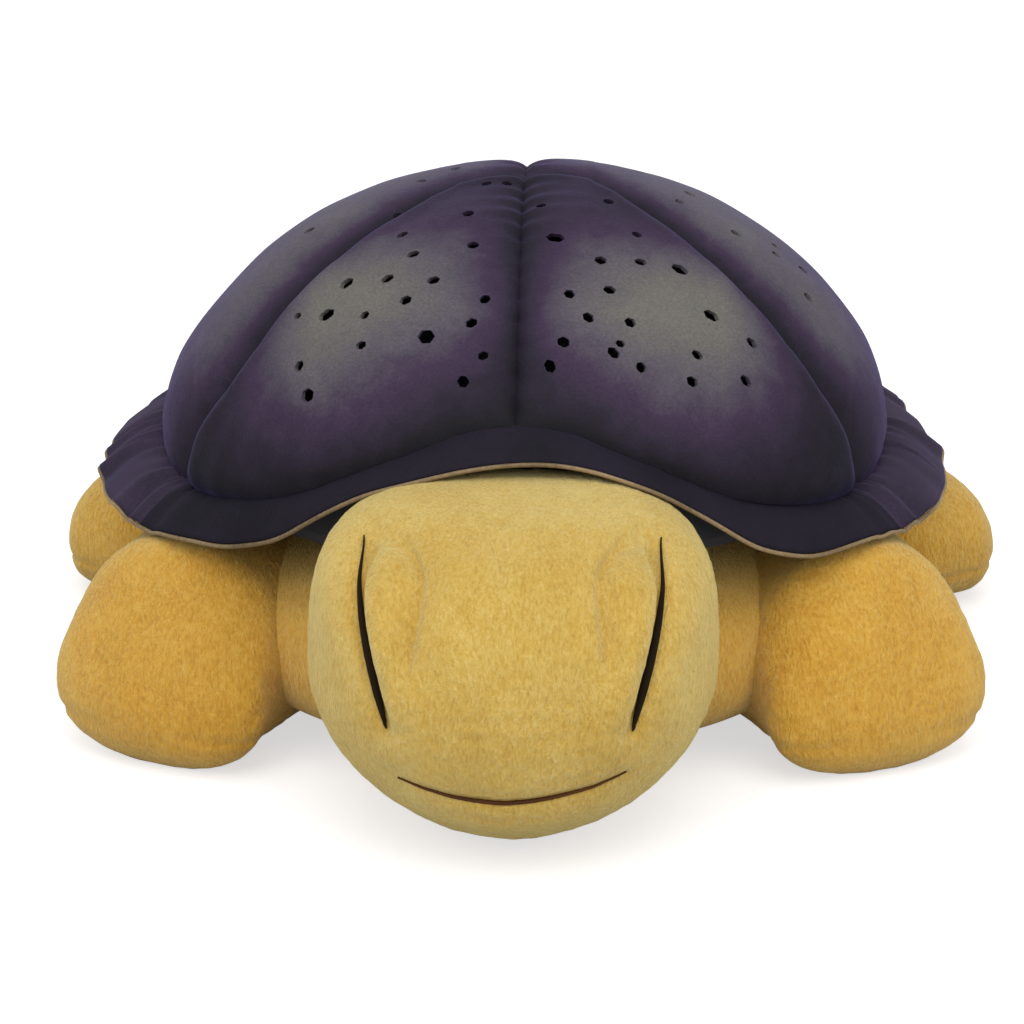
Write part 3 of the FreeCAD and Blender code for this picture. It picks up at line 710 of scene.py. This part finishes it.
    def build(self) -> None:
        """Make the panel with its holes."""
        mesh = self.smooth_mesh()
        node = f"cover_{self.word}_{self.side.word}"
        points = self.quilt(mesh_points(mesh))
        panel = finish_piece(mesh, points, [node], [VELOUR])
        thicken(panel, self.wall_mm)
        carve(panel, self.punches())
        self.mark_seams(panel.data)

    def mark_seams(self, mesh: Mesh) -> None:
        """Store the shell's painted light and shade at each point, from zero in a seam's shaded
        fold to one in the open.

        Args:
            mesh: The panel's mesh, in metres.
        """
        points = mesh_points(mesh) / MM
        middle, cross, edge = self.distances(points)
        z = points[:, 2]
        if self.front:
            # Painted shade in the folds of the middle seam and the cross seam.
            amount = (1 - np.exp(-(middle + 0.5) / 10)) * (1 - np.exp(-(cross + 1) / 12))
            # Darker towards the crown; painted shade along the lower edge, where the panel curves
            # under, and on the flank; a painted highlight on the rim.
            amount *= np.clip(1 - (z - 152) / 30, 0.42, 1)
            amount *= np.clip((edge - 3) / 42, 0, 1) ** 0.85
            amount *= np.clip(1 - (middle - 66) / 50, 0.36, 1)
            amount = np.maximum(amount, 0.42 * bell(cross - 3.5, 3.2) * np.clip(edge / 30, 0, 1))
        else:
            # Painted shade in the seams' folds and low down, paler towards the crown as painted
            # sheen.
            amount = (1 - np.exp(-(middle + 4) / 12)) * (1 - np.exp(-cross / 9)) ** 1.6
            amount *= 0.46 + 0.38 * np.clip((z - 100) / 60, 0, 1)
        amount *= 1 + 0.16 * ripple(points, 52, 7.0)
        store = mesh.attributes.new("seam_far", "FLOAT", "POINT")
        store.data.foreach_set("value", np.clip(amount, 0, 1))


@dataclass
class BrimStretch:
    """A stretch of the brim sewn under the shell, plain over the head and gathered elsewhere."""

    node: str
    # Shares of the way round at its start and its end, and the divisions between them.
    first: float
    last: float
    count: int
    cloth: Finish
    thick_mm: float = 2.4
    edging_mm: float = 0.7
    # How far the root reaches in under the shell's panels.
    inset_mm: float = 9.0
    # Share of the way round where the gathers begin, and the share over which they grow.
    gather_start: float = 0.30
    gather_growth: float = 0.08
    # Edge of the brim from the middle of the front to the middle of the back, on the right:
    # across, back and height.
    edge_points: tuple[Triple, ...] = (
        (0, -108, 118.5), (14, -108, 118), (27, -106, 115), (45, -101, 107.5), (62, -93, 95),
        (76, -85, 84), (95, -71, 76.5), (112, -54, 74), (126, -37, 72), (138, -12, 72),
        (143, 16, 71), (141, 55, 71), (131, 98, 71), (110, 133, 71), (76, 157, 71),
        (38, 168, 71), (0, 171, 71))

    def edge_line(self, share: np.ndarray) -> np.ndarray:
        """Return places on the brim's edge.

        Args:
            share: Shares of the way round, from 0 at the front to 1 at the back, minus on the
                left, and past 1 where a stretch goes on round the back.

        Returns:
            Rows of x, y, z in millimetres.
        """
        table = np.array(self.edge_points, dtype=float)
        steps = np.linalg.norm(np.diff(table, axis=0), axis=1)
        along = np.concatenate([[0], np.cumsum(steps)]) / steps.sum()
        fine = np.linspace(0, 1, 400)
        smooth = between(table, along, fine)
        kernel = bell(np.arange(-12, 13.0), 7.0)
        kernel /= kernel.sum()
        mirror = [-1, 1, 1]
        padded = np.concatenate([smooth[12:0:-1] * mirror, smooth, smooth[-2:-14:-1] * mirror])
        smooth = np.stack([np.convolve(column, kernel, "valid") for column in padded.T], axis=1)
        share = (share + 1) % 2 - 1
        line = between(smooth, fine, np.abs(share))
        line[:, 0] *= np.sign(share + 1e-9)
        return line

    def root_line(self, edge: np.ndarray) -> np.ndarray:
        """Find the seam on the shell inward of each place on the edge.

        Args:
            edge: Places on the edge.

        Returns:
            Places on the seam, a little inside the shell.
        """
        angle = np.arctan2(edge[:, 0] / SHELL_WIDE, -(edge[:, 1] - SHELL_BACK) / SHELL_LONG)
        root = np.stack([np.sin(angle) * SHELL_WIDE, -np.cos(angle) * SHELL_LONG,
                         np.zeros(len(angle))], axis=1)
        front = np.cos(angle) > 0
        level = np.where(front, neck_level(root[:, 0]), SHELL_SPRING)
        for _ in range(4):
            fall = np.sqrt(np.clip(1 - ((level - SHELL_SPRING) / SHELL_RISE) ** 2, 0.1, 1))
            root[:, 0] = np.sin(angle) * SHELL_WIDE * fall
            root[:, 1] = -np.cos(angle) * SHELL_LONG * fall
            level = np.where(front, neck_level(root[:, 0]), SHELL_SPRING)
        root[:, 1] += SHELL_BACK
        root[:, 2] = level + 1.0
        return root - unit((root - [0, SHELL_BACK, 0]) * LEVEL) * self.inset_mm

    def surface(self, share: np.ndarray, down: np.ndarray) -> np.ndarray:
        """Return places on the brim's middle face.

        Args:
            share: Shares of the way round, from -1 to 1.
            down: Shares of the way from the seam to the edge.

        Returns:
            Rows of x, y, z in millimetres.
        """
        share = (share + 1) % 2 - 1
        edge = self.edge_line(share)
        root = self.root_line(edge)
        gathered = np.clip((np.abs(share) - self.gather_start) / self.gather_growth, 0, 1)
        bulge = np.sin(down * math.pi) * (2.6 + 2.4 * gathered)
        points = root + (edge - root) * down[:, None]
        points[:, 2] += bulge
        # Gathers wander in width, and only some of them reach the edge.
        run = share * 40 + 2.2 * np.sin(share * 17 + 1) + 1.4 * np.sin(share * 37)
        wave = np.sin(run * 1.9) + 0.6 * np.sin(run * 3.3 + 1.3)
        crimp = np.sin(run * 6.1 + np.sin(run)) * np.clip(1 - down * 1.5, 0, 1)
        points[:, 2] += gathered * (wave * (0.2 + 0.8 * down) + 0.7 * crimp)
        points += unit((edge - root) * LEVEL) * (wave * gathered * 0.6 * down)[:, None]
        drift = 0.9 * np.sin(share * 23) + 0.6 * np.sin(share * 41 + 1)
        points[:, 2] += drift * down * (1 - gathered)
        return points

    def build(self) -> None:
        """Make the stretch as a thick strip with a bronze thread bound round its edge."""
        shape = bmesh.new()
        bmesh.ops.create_grid(shape, x_segments=self.count, y_segments=16, size=0.5)
        mesh = free_mesh(shape, f"sewn_{self.node}")
        flat = mesh_points(mesh)
        share = self.first + (self.last - self.first) * (flat[:, 0] + 0.5)
        points = self.surface(share, flat[:, 1] + 0.5)
        piece = finish_piece(mesh, points, [self.node], [self.cloth, LINING])
        if mesh.polygons[len(mesh.polygons) // 2].normal.z < 0:
            mesh.flip_normals()
        wall = thicken(piece, self.thick_mm)
        wall.material_offset = 1
        wall.material_offset_rim = 0
        share = np.linspace(self.first, self.last, self.count)
        line = self.surface(share, np.ones(self.count))
        line[:, 2] -= self.thick_mm * 0.5
        tube_along(f"{self.node}_edging", line, self.edging_mm, EDGING)


# Shares of the way round where the front meets the sides and the sides meet the rear.
FRONT_END = 0.345
SIDE_END = 0.62
BRIM = (BrimStretch("front_brim", -FRONT_END, FRONT_END, 360, BRIM_CLOTH),
        BrimStretch("side_ruffle_right", FRONT_END, SIDE_END, 260, RUFFLE_CLOTH),
        BrimStretch("side_ruffle_left", -FRONT_END, -SIDE_END, 260, RUFFLE_CLOTH),
        BrimStretch("rear_ruffle", SIDE_END, 2 - SIDE_END, 480, RUFFLE_CLOTH))


def tube_along(name: str, line: np.ndarray, radius: float | np.ndarray,
               finish: Finish) -> None:
    """Make a round strand along a line.

    Args:
        name: The piece's name.
        line: Places along the strand in millimetres.
        radius: Its radius in millimetres, or one for each place.
        finish: Its finish.
    """
    path = bpy.data.curves.new(name, "CURVE")
    path.dimensions = "3D"
    path.bevel_depth = MM
    path.bevel_resolution = 2
    path.use_fill_caps = True
    spline = path.splines.new("POLY")
    spline.points.add(len(line) - 1)
    widths = np.broadcast_to(radius, len(line))
    for point, place, width in zip(spline.points, line * MM, widths):
        point.co = (*place, 1.0)
        point.radius = float(width)
    holder = add_object(f"{name}_path", path)
    mesh = bpy.data.meshes.new_from_object(holder)
    mesh.name = name
    bpy.data.objects.remove(holder)
    finish_piece(mesh, mesh_points(mesh) / MM, [], [finish])


@dataclass
class PlushHead:
    """The stuffed head with its closed eyes and sewn smile."""

    centre: Triple = (0.0, -112.6, 57.0)
    half: Triple = (64.3, 66.5, 55.8)
    # The head ends flat here, inside the body.
    rear_level: float = -84.0
    # The face's relief fades in over this stretch, from the first place to the second.
    face_start: float = -108.0
    face_full: float = -120.0
    far_ahead: float = -400.0
    # Height or depth and width of what is sewn into the face, in millimetres.
    lid_swell: Pair = (4.2, 6.0)
    cheek_swell: Pair = (2.6, 7.0)
    lip_swell: Pair = (1.0, 6.0)
    slit_groove: Pair = (5.5, 1.9)
    lid_grooves: tuple[Pair, ...] = ((3.2, 2.2), (1.6, 6.0))
    mouth_grooves: tuple[Pair, ...] = ((1.6, 1.5), (1.0, 5.0))
    brow_groove: Pair = (0.8, 1.2)
    # The right eye's slit, seen from the front: across and height on the head.
    slit_points: tuple[Pair, ...] = (
        (45.5, 101.0), (46.5, 92.0), (45.2, 83.0), (42.7, 72.5), (40.0, 62.0), (37.3, 53.0))
    # The lid's inner crease, from its top round to its foot.
    crease_points: tuple[Pair, ...] = (
        (45.5, 101.0), (42.0, 104.5), (36.0, 105.0), (31.5, 103.0), (28.5, 99.0), (29.0, 92.0),
        (30.5, 83.5), (31.5, 74.0), (32.8, 62.0))
    mouth_points: tuple[Pair, ...] = (
        (-34.0, 36.0), (-25.5, 33.5), (-16.0, 31.5), (-2.0, 30.5), (11.5, 32.0), (25.5, 35.0),
        (35.5, 39.0))
    brow_seam_points: tuple[Pair, ...] = ((-3.0, 113.0), (-3.0, 108.0), (-3.4, 99.0))

    def round_out(self, points: np.ndarray) -> np.ndarray:
        """Swell a unit ball into the head's smooth form, blunt at the nose and brow.

        Args:
            points: Places on the unit ball.

        Returns:
            Places in millimetres.
        """
        x, y, z = points.T
        lift = np.clip((z + 0.2) / 0.6, 0, 1)
        lift = lift * lift * (3 - 2 * lift)
        # The brow is squarer than the chin.
        power = 1.86 + 1.18 * lift
        deep_power = 2.08
        upright = (np.abs(x) ** power + np.abs(z) ** power) ** (1 / power)
        size = (upright ** deep_power + np.abs(y) ** deep_power) ** (1 / deep_power)
        shaped = points / size[:, None] * np.array(self.half) + np.array(self.centre)
        shaped[:, 1] = np.minimum(shaped[:, 1], self.rear_level)
        return shaped

    @staticmethod
    def fine_line(points: Sequence[Pair], count: int = 80) -> np.ndarray:
        """Divide a line of given points evenly and round its corners.

        Args:
            points: Places across and up.
            count: How many places are wanted.

        Returns:
            The places along the line.
        """
        table = np.array(points)
        along = np.concatenate([[0], np.cumsum(np.linalg.norm(np.diff(table, axis=0), axis=1))])
        even = np.linspace(0, along[-1], count)
        line = between(table, along, even)
        for _ in range(12):
            line[1:-1] = (line[:-2] + 2 * line[1:-1] + line[2:]) / 4
        return line

    @staticmethod
    def away_from(points: np.ndarray, line: np.ndarray) -> tuple[np.ndarray, np.ndarray]:
        """Measure each point's distance from a line seen from the front.

        Args:
            points: Places in millimetres.
            line: Places across and up along the line.

        Returns:
            The distances and the index of the nearest place on the line.
        """
        best = np.full(len(points), 1e6)
        nearest = np.zeros(len(points), dtype=int)
        for index, (across, level) in enumerate(line):
            gap = np.hypot(points[:, 0] - across, points[:, 2] - level)
            closer = gap < best
            best[closer] = gap[closer]
            nearest[closer] = index
        return best, nearest

    def sculpt(self, points: np.ndarray) -> np.ndarray:
        """Sew the eyelids, the smile and the face's soft dents into the head.

        Args:
            points: Places on the smooth head in millimetres.

        Returns:
            The moved points.
        """
        out = unit(points - np.array(self.centre))
        face = np.clip((self.face_start - points[:, 1]) / (self.face_start - self.face_full), 0, 1)
        move = 0.35 * ripple(points, 30, 4.0) + 0.18 * ripple(points, 11, 8.0)
        move += pile_relief(points)
        for side in Side:
            mirrored = points * [side.value, 1, 1]
            slit_line = self.fine_line(self.slit_points)
            slit, slit_at = self.away_from(mirrored, slit_line)
            crease, crease_at = self.away_from(mirrored, self.fine_line(self.crease_points))
            middle = np.sin(math.pi * (slit_at + 5) / 90) ** 0.7
            inner = mirrored[:, 0] < slit_line[slit_at, 0]
            # The lid swells between crease and slit and drops steeply into the slit.
            move += face * middle * inner * self.sewn(slit - 7.5, self.lid_swell)
            move += face * middle * ~inner * self.sewn(slit - 8.0, self.cheek_swell)
            move -= face * middle * self.sewn(slit, self.slit_groove)
            fade = np.clip((82 - crease_at) / 30, 0, 1)
            for groove in self.lid_grooves:
                move -= face * fade * self.sewn(crease, groove)
        mouth, mouth_at = self.away_from(points, self.fine_line(self.mouth_points))
        ends = np.sin(math.pi * (mouth_at + 6) / 92)
        for groove in self.mouth_grooves:
            move -= face * ends * self.sewn(mouth, groove)
        below = points[:, 2] < np.interp(points[:, 0], *np.array(self.mouth_points).T)
        move += face * ends * below * self.sewn(mouth - 9, self.lip_swell)
        brow, _ = self.away_from(points, self.fine_line(self.brow_seam_points))
        move -= face * self.sewn(brow, self.brow_groove)
        return points + out * move[:, None]

    @staticmethod
    def sewn(gap: np.ndarray, size: Pair) -> np.ndarray:
        """Return a swell's height at each distance from its line."""
        return size[0] * bell(gap, size[1])

    def on_skin(self, skin: Mesh, line: np.ndarray, lift: float) -> np.ndarray:
        """Drop a line seen from the front onto the head.

        Args:
            skin: The finished head mesh, in metres.
            line: Places across and up in millimetres.
            lift: How far the line stands off the skin in millimetres.

        Returns:
            Rows of x, y, z in millimetres.
        """
        shape = bmesh.new()
        shape.from_mesh(skin)
        tree = BVHTree.FromBMesh(shape)
        shape.free()
        placed = []
        for across, level in line:
            start = Vector((across, self.far_ahead, level)) * MM
            hit, normal, _, _ = tree.ray_cast(start, Vector((0, 1, 0)))
            if hit is not None:
                placed.append((hit + normal * lift * MM) / MM)
        return np.array(placed)

    def build(self) -> None:
        """Make the head, its two eye slits and its smile."""
        mesh = ball_mesh("plush_head", 8)
        points = self.sculpt(self.round_out(mesh_points(mesh)))
        head = finish_piece(mesh, points, ["head"], [PLUSH])
        for side in Side:
            line = self.fine_line(self.slit_points, 60) * [side.value, 1]
            placed = self.on_skin(mesh, line, 0.6)
            down = np.linspace(0, 1, len(placed))
            width = 0.25 + 1.15 * np.sin(math.pi * down ** 1.5) ** 0.7
            tube_along(f"closed_eye_{side.word}", placed, width, FELT)
        smile = self.on_skin(mesh, self.fine_line(self.mouth_points, 90), 0.25)
        width = 0.25 + 0.5 * np.sin(np.linspace(0.12, math.pi - 0.12, len(smile)))
        tube_along("sewn_smile", smile, width, THREAD)


@dataclass
class StuffedForm:
    """A stuffed flipper or tail that swells and tapers along an axis."""

    name: str
    node: str
    root: Pair
    toward: Pair
    length: float
    # Share of the length, half width and half height.
    stations: tuple[Triple, ...]
    flat_level: float = 0.4
    steps: int = 7
    fill: float = 0.85
    # The side seam's depth and its height over the form's underside.
    seam_depth: float = 0.9
    seam_level: float = 14.0
    # Share of the length over which each end closes, and the section's squareness.
    end_share: float = 0.16
    squareness: float = 2.3

    def shape(self, points: np.ndarray) -> np.ndarray:
        """Map a unit ball onto the form.

        Args:
            points: Places on the unit ball, with its first axis along the form.

        Returns:
            Places in millimetres.
        """
        along = np.array([*self.toward, 0.0])
        along /= np.linalg.norm(along)
        across = np.array([-along[1], along[0], 0.0])
        table = np.array(self.stations)
        x, y, z = points.T
        share = 0.5 + np.arcsin(np.clip(x, -1, 1)) / math.pi
        ring = np.sqrt(np.clip(1 - x ** 2, 1e-9, 1))
        kernel = bell(np.linspace(-1, 1, 41), 0.5)
        grid = np.linspace(0, 1, 201)
        sizes = []
        for column in (1, 2):
            fine = np.interp(grid, table[:, 0], table[:, column])
            spread = np.convolve(np.pad(fine, 20, "edge"), kernel / kernel.sum(), "valid")
            sizes.append(np.interp(share, grid, spread))
        wide, high = sizes
        end = np.clip(np.minimum(share, 1 - share) / self.end_share, 0, 1)
        close = np.sqrt(1 - (1 - end) ** 2)
        side, up = y / ring, z / ring
        power = self.squareness
        size = np.maximum((np.abs(side) ** power + np.abs(up) ** power) ** (1 / power), 1e-6)
        side, up = side / size, up / size
        middle = high * 0.94 + self.flat_level
        place = np.array([*self.root, 0.0]) + np.outer(share * self.length, along)
        place += np.outer(side * wide * close, across)
        place[:, 2] = middle + up * high * close
        return place

    def stuff(self, points: np.ndarray) -> np.ndarray:
        """Let the filling lump and settle the form on the table.

        Args:
            points: Places on the smooth form in millimetres.

        Returns:
            The moved points.
        """
        out = unit(points - points.mean(axis=0))
        lumps = 0.9 * ripple(points, 38, len(self.name)) + 0.25 * ripple(points, 12, 2.0)
        lumps += pile_relief(points)
        moved = points + out * lumps[:, None]
        seam = self.seam_depth * bell(moved[:, 2] - (self.flat_level + self.seam_level), 1.6)
        moved -= out * LEVEL * seam[:, None]
        moved[:, 2] = np.maximum(moved[:, 2], self.flat_level)
        return moved

    def build(self) -> None:
        """Make the stuffed piece."""
        mesh = ball_mesh(self.name, self.steps)
        points = self.stuff(self.shape(mesh_points(mesh)))
        piece = finish_piece(mesh, points, [self.node], [LIMB_PLUSH])


FRONT_FLIPPER = ((0.0, 38, 38.4), (0.35, 38, 37.3), (0.7, 38.5, 36), (1.0, 40, 15.8))
REAR_FLIPPER = ((0.0, 27, 20), (0.3, 33, 24), (0.6, 36, 25), (0.85, 32, 22), (1.0, 27, 18))
TAIL = ((0.0, 21, 17), (0.4, 19, 15), (0.75, 13, 11), (1.0, 8, 7))


def stuffed_forms() -> list[StuffedForm]:
    """List the flippers and the tail with their sizes.

    Returns:
        The forms, ready to build.
    """
    forms = [StuffedForm("plush_tail", "tail", (0, 120), (0, 1), 66, TAIL, 3.0, 6)]
    for side in Side:
        sign = side.value
        front, rear = f"front_flipper_{side.word}", f"rear_flipper_{side.word}"
        forms.append(StuffedForm(f"plush_{front}", front, (sign * 81, 6), (sign * 0.435, -0.9),
                                 95.5, FRONT_FLIPPER))
        forms.append(StuffedForm(f"plush_{rear}", rear, (sign * 70, 64), (sign * 0.88, 0.48),
                                 101, REAR_FLIPPER))
    return forms


@dataclass
class PlushBody:
    """The stuffed body under the shell, with an opening for the battery door."""

    half: Pair = (111.5, 119.5)
    middle_level: float = 38.0
    window: Triple = (51.0, 55.0, 40.0)

    def build(self) -> None:
        """Make the body as a low loaf with its belly opening."""
        mesh = ball_mesh("plush_loaf", 7)
        ball = mesh_points(mesh)
        power = np.array([2.2, 2.2, 2.8])
        size = (np.abs(ball) ** power).sum(axis=1) ** (1 / 2.4)
        loaf = ball / size[:, None]
        middle = self.middle_level
        points = np.stack([loaf[:, 0] * self.half[0], loaf[:, 1] * self.half[1] + SHELL_BACK,
                           np.clip(middle + loaf[:, 2] * 39, 0.0, 76.5)], axis=1)
        out = unit(points - np.array([0, SHELL_BACK, middle]))
        # The filling lumps the sides, not the flat belly or back.
        lump = 0.8 * ripple(points, 42, 2.0) * np.clip(points[:, 2] / 10, 0, 1)
        lump *= np.clip((74 - points[:, 2]) / 10, 0, 1)
        points = points + out * lump[:, None]
        body = finish_piece(mesh, points, ["plush_body"], [LIMB_PLUSH])
        carve(body, self.belly_cutter())

    def belly_cutter(self) -> Object:
        """Make the block that cuts the battery door's recess into the belly.

        Returns:
            The block, for cutting only.
        """
        shape = bmesh.new()
        bmesh.ops.create_cube(shape, size=1.0, matrix=Matrix.Translation((0, SHELL_BACK * MM, 0))
                              @ Matrix.Diagonal((*(side * MM for side in self.window), 1)))
        return add_object("belly_cutter", free_mesh(shape, "belly_cutter"))


@dataclass
class HardParts:
    """Finishes for the CAD pieces that stay as they are."""

    # ABS mouldings in a near-black violet, fine spark-eroded grain.
    shell_plastic: MouldedPart = MouldedPart("dark_abs", "#15131c", 0.5)
    steel: MouldedPart = MouldedPart("nickel_plated_steel", "#b8b8b4", 0.3, 1.0)
    can: MouldedPart = MouldedPart("cell_sleeve", "#8a8d94", 0.35, 0.6)
    board: MouldedPart = MouldedPart("glass_fibre_board", "#1d5a34", 0.4)
    clear: MouldedPart = MouldedPart("clear_polycarbonate", "#e8eef2", 0.1, 0.0, 0.02, 0.9)
    switch: MouldedPart = MouldedPart("black_nylon", "#101010", 0.55)
    colours: tuple[tuple[str, str], ...] = (("power", "#e2e0da"), ("amber", "#e09a2a"),
                                            ("blue", "#2f5fc4"), ("green", "#3c9a54"))

    def dress(self) -> None:
        """Give every CAD piece that shows, or could show, its material."""
        groups = {self.shell_plastic: ("star_dome", "base_plate", "battery_housing", "battery_door",
                                       "lamp_column", "button_panel"),
                  self.steel: ("front_contacts", "rear_contacts", "dome_screws", "door_screw"),
                  self.can: ("battery_cell_1", "battery_cell_2", "battery_cell_3"),
                  self.board: ("lamp_board", "main_board", "switch_board"),
                  self.clear: ("lamp_lens",),
                  self.switch: ("tact_switches",)}
        for word, code in self.colours:
            groups[MouldedPart(f"{word}_button_abs", code, 0.4)] = (f"{word}_button",)
            if word != "power":
                groups[MouldedPart(f"{word}_epoxy", code, 0.15, 0.0, 0.02, 0.5)] = (f"{word}_led",)
        for finish, names in groups.items():
            for name in names:
                piece = bpy.data.objects[name]
                piece.data.materials.clear()
                piece.data.materials.append(finish.material())


@dataclass
class Studio:
    """Pale floor, soft lamps and the camera at the photograph's angle."""

    turn_deg: float = 1.5
    tilt_deg: float = 20.0
    distance_mm: float = 1600.0
    aim: Triple = (-3.3, -7.2, 65.6)
    lens_mm: float = 168.75
    floor_half_m: float = 6.0
    world_strength: float = 0.6
    # Name, place in metres, side in metres and power in watts.
    lamps: tuple[tuple[str, Triple, float, float], ...] = (
        ("overhead_softbox", (0.05, -0.8, 1.6), 1.5, 15.0),
        ("front_left_softbox", (-1.1, -1.6, 1.0), 1.2, 9.5),
        ("front_right_softbox", (1.2, -1.5, 0.8), 1.2, 8.5))
    lamp_aim: Triple = (0, 0, 0.06)

    def camera(self) -> None:
        """Place the camera and make it the scene's own."""
        turn, tilt = math.radians(self.turn_deg), math.radians(self.tilt_deg)
        back = Vector((math.sin(turn) * math.cos(tilt), -math.cos(turn) * math.cos(tilt),
                       math.sin(tilt)))
        data = bpy.data.cameras.new("studio_camera")
        data.lens = self.lens_mm
        data.sensor_width = 36.0
        data.clip_end = 20.0
        eye = add_object("studio_camera", data)
        eye.location = (Vector(self.aim) + back * self.distance_mm) * MM
        eye.rotation_euler = back.to_track_quat("Z", "Y").to_euler()
        bpy.context.scene.camera = eye

    def light(self) -> None:
        """Add the square soft lamps that face the toy."""
        for name, place, size, watts in self.lamps:
            data = bpy.data.lights.new(name, "AREA")
            data.size = size
            data.energy = watts
            lamp = add_object(name, data)
            lamp.location = place
            away = Vector(place) - Vector(self.lamp_aim)
            lamp.rotation_euler = away.to_track_quat("Z", "Y").to_euler()

    def floor(self) -> None:
        """Make the pale floor that the toy rests on."""
        shape = bmesh.new()
        bmesh.ops.create_grid(shape, x_segments=1, y_segments=1, size=self.floor_half_m)
        ground = add_object("studio_floor", free_mesh(shape, "studio_floor"))
        ground.data.materials.append(MattCard().material())

    def world(self) -> None:
        """Fill the surroundings with plain white light, full for the camera alone."""
        world = bpy.data.worlds.new("studio_world")
        world.use_nodes = True
        world.node_tree.nodes.clear()
        add = partial(add_node, world.node_tree)
        rays = add("LightPath").outputs["Is Camera Ray"]
        strength = add("MapRange", {"To Min": self.world_strength, "To Max": 1.0},
                       {"Value": rays})
        glow = add("Background", {"Color": linear("#ffffff")}, {"Strength": strength})
        add("OutputWorld", links={"Surface": glow})
        bpy.context.scene.world = world

    def build(self) -> None:
        """Set up the whole studio."""
        self.camera()
        self.floor()
        self.world()
        self.light()
        bpy.context.scene.view_settings.view_transform = "Standard"


def main() -> None:
    """Build the studio and every piece of the toy."""
    Studio().build()
    HardParts().dress()
    for front in (True, False):
        for side in Side:
            ShellPanel(front, side).build()
    for stretch in BRIM:
        stretch.build()
    PlushHead().build()
    PlushBody().build()
    for form in stuffed_forms():
        form.build()


if __name__ == "__main__":
    main()
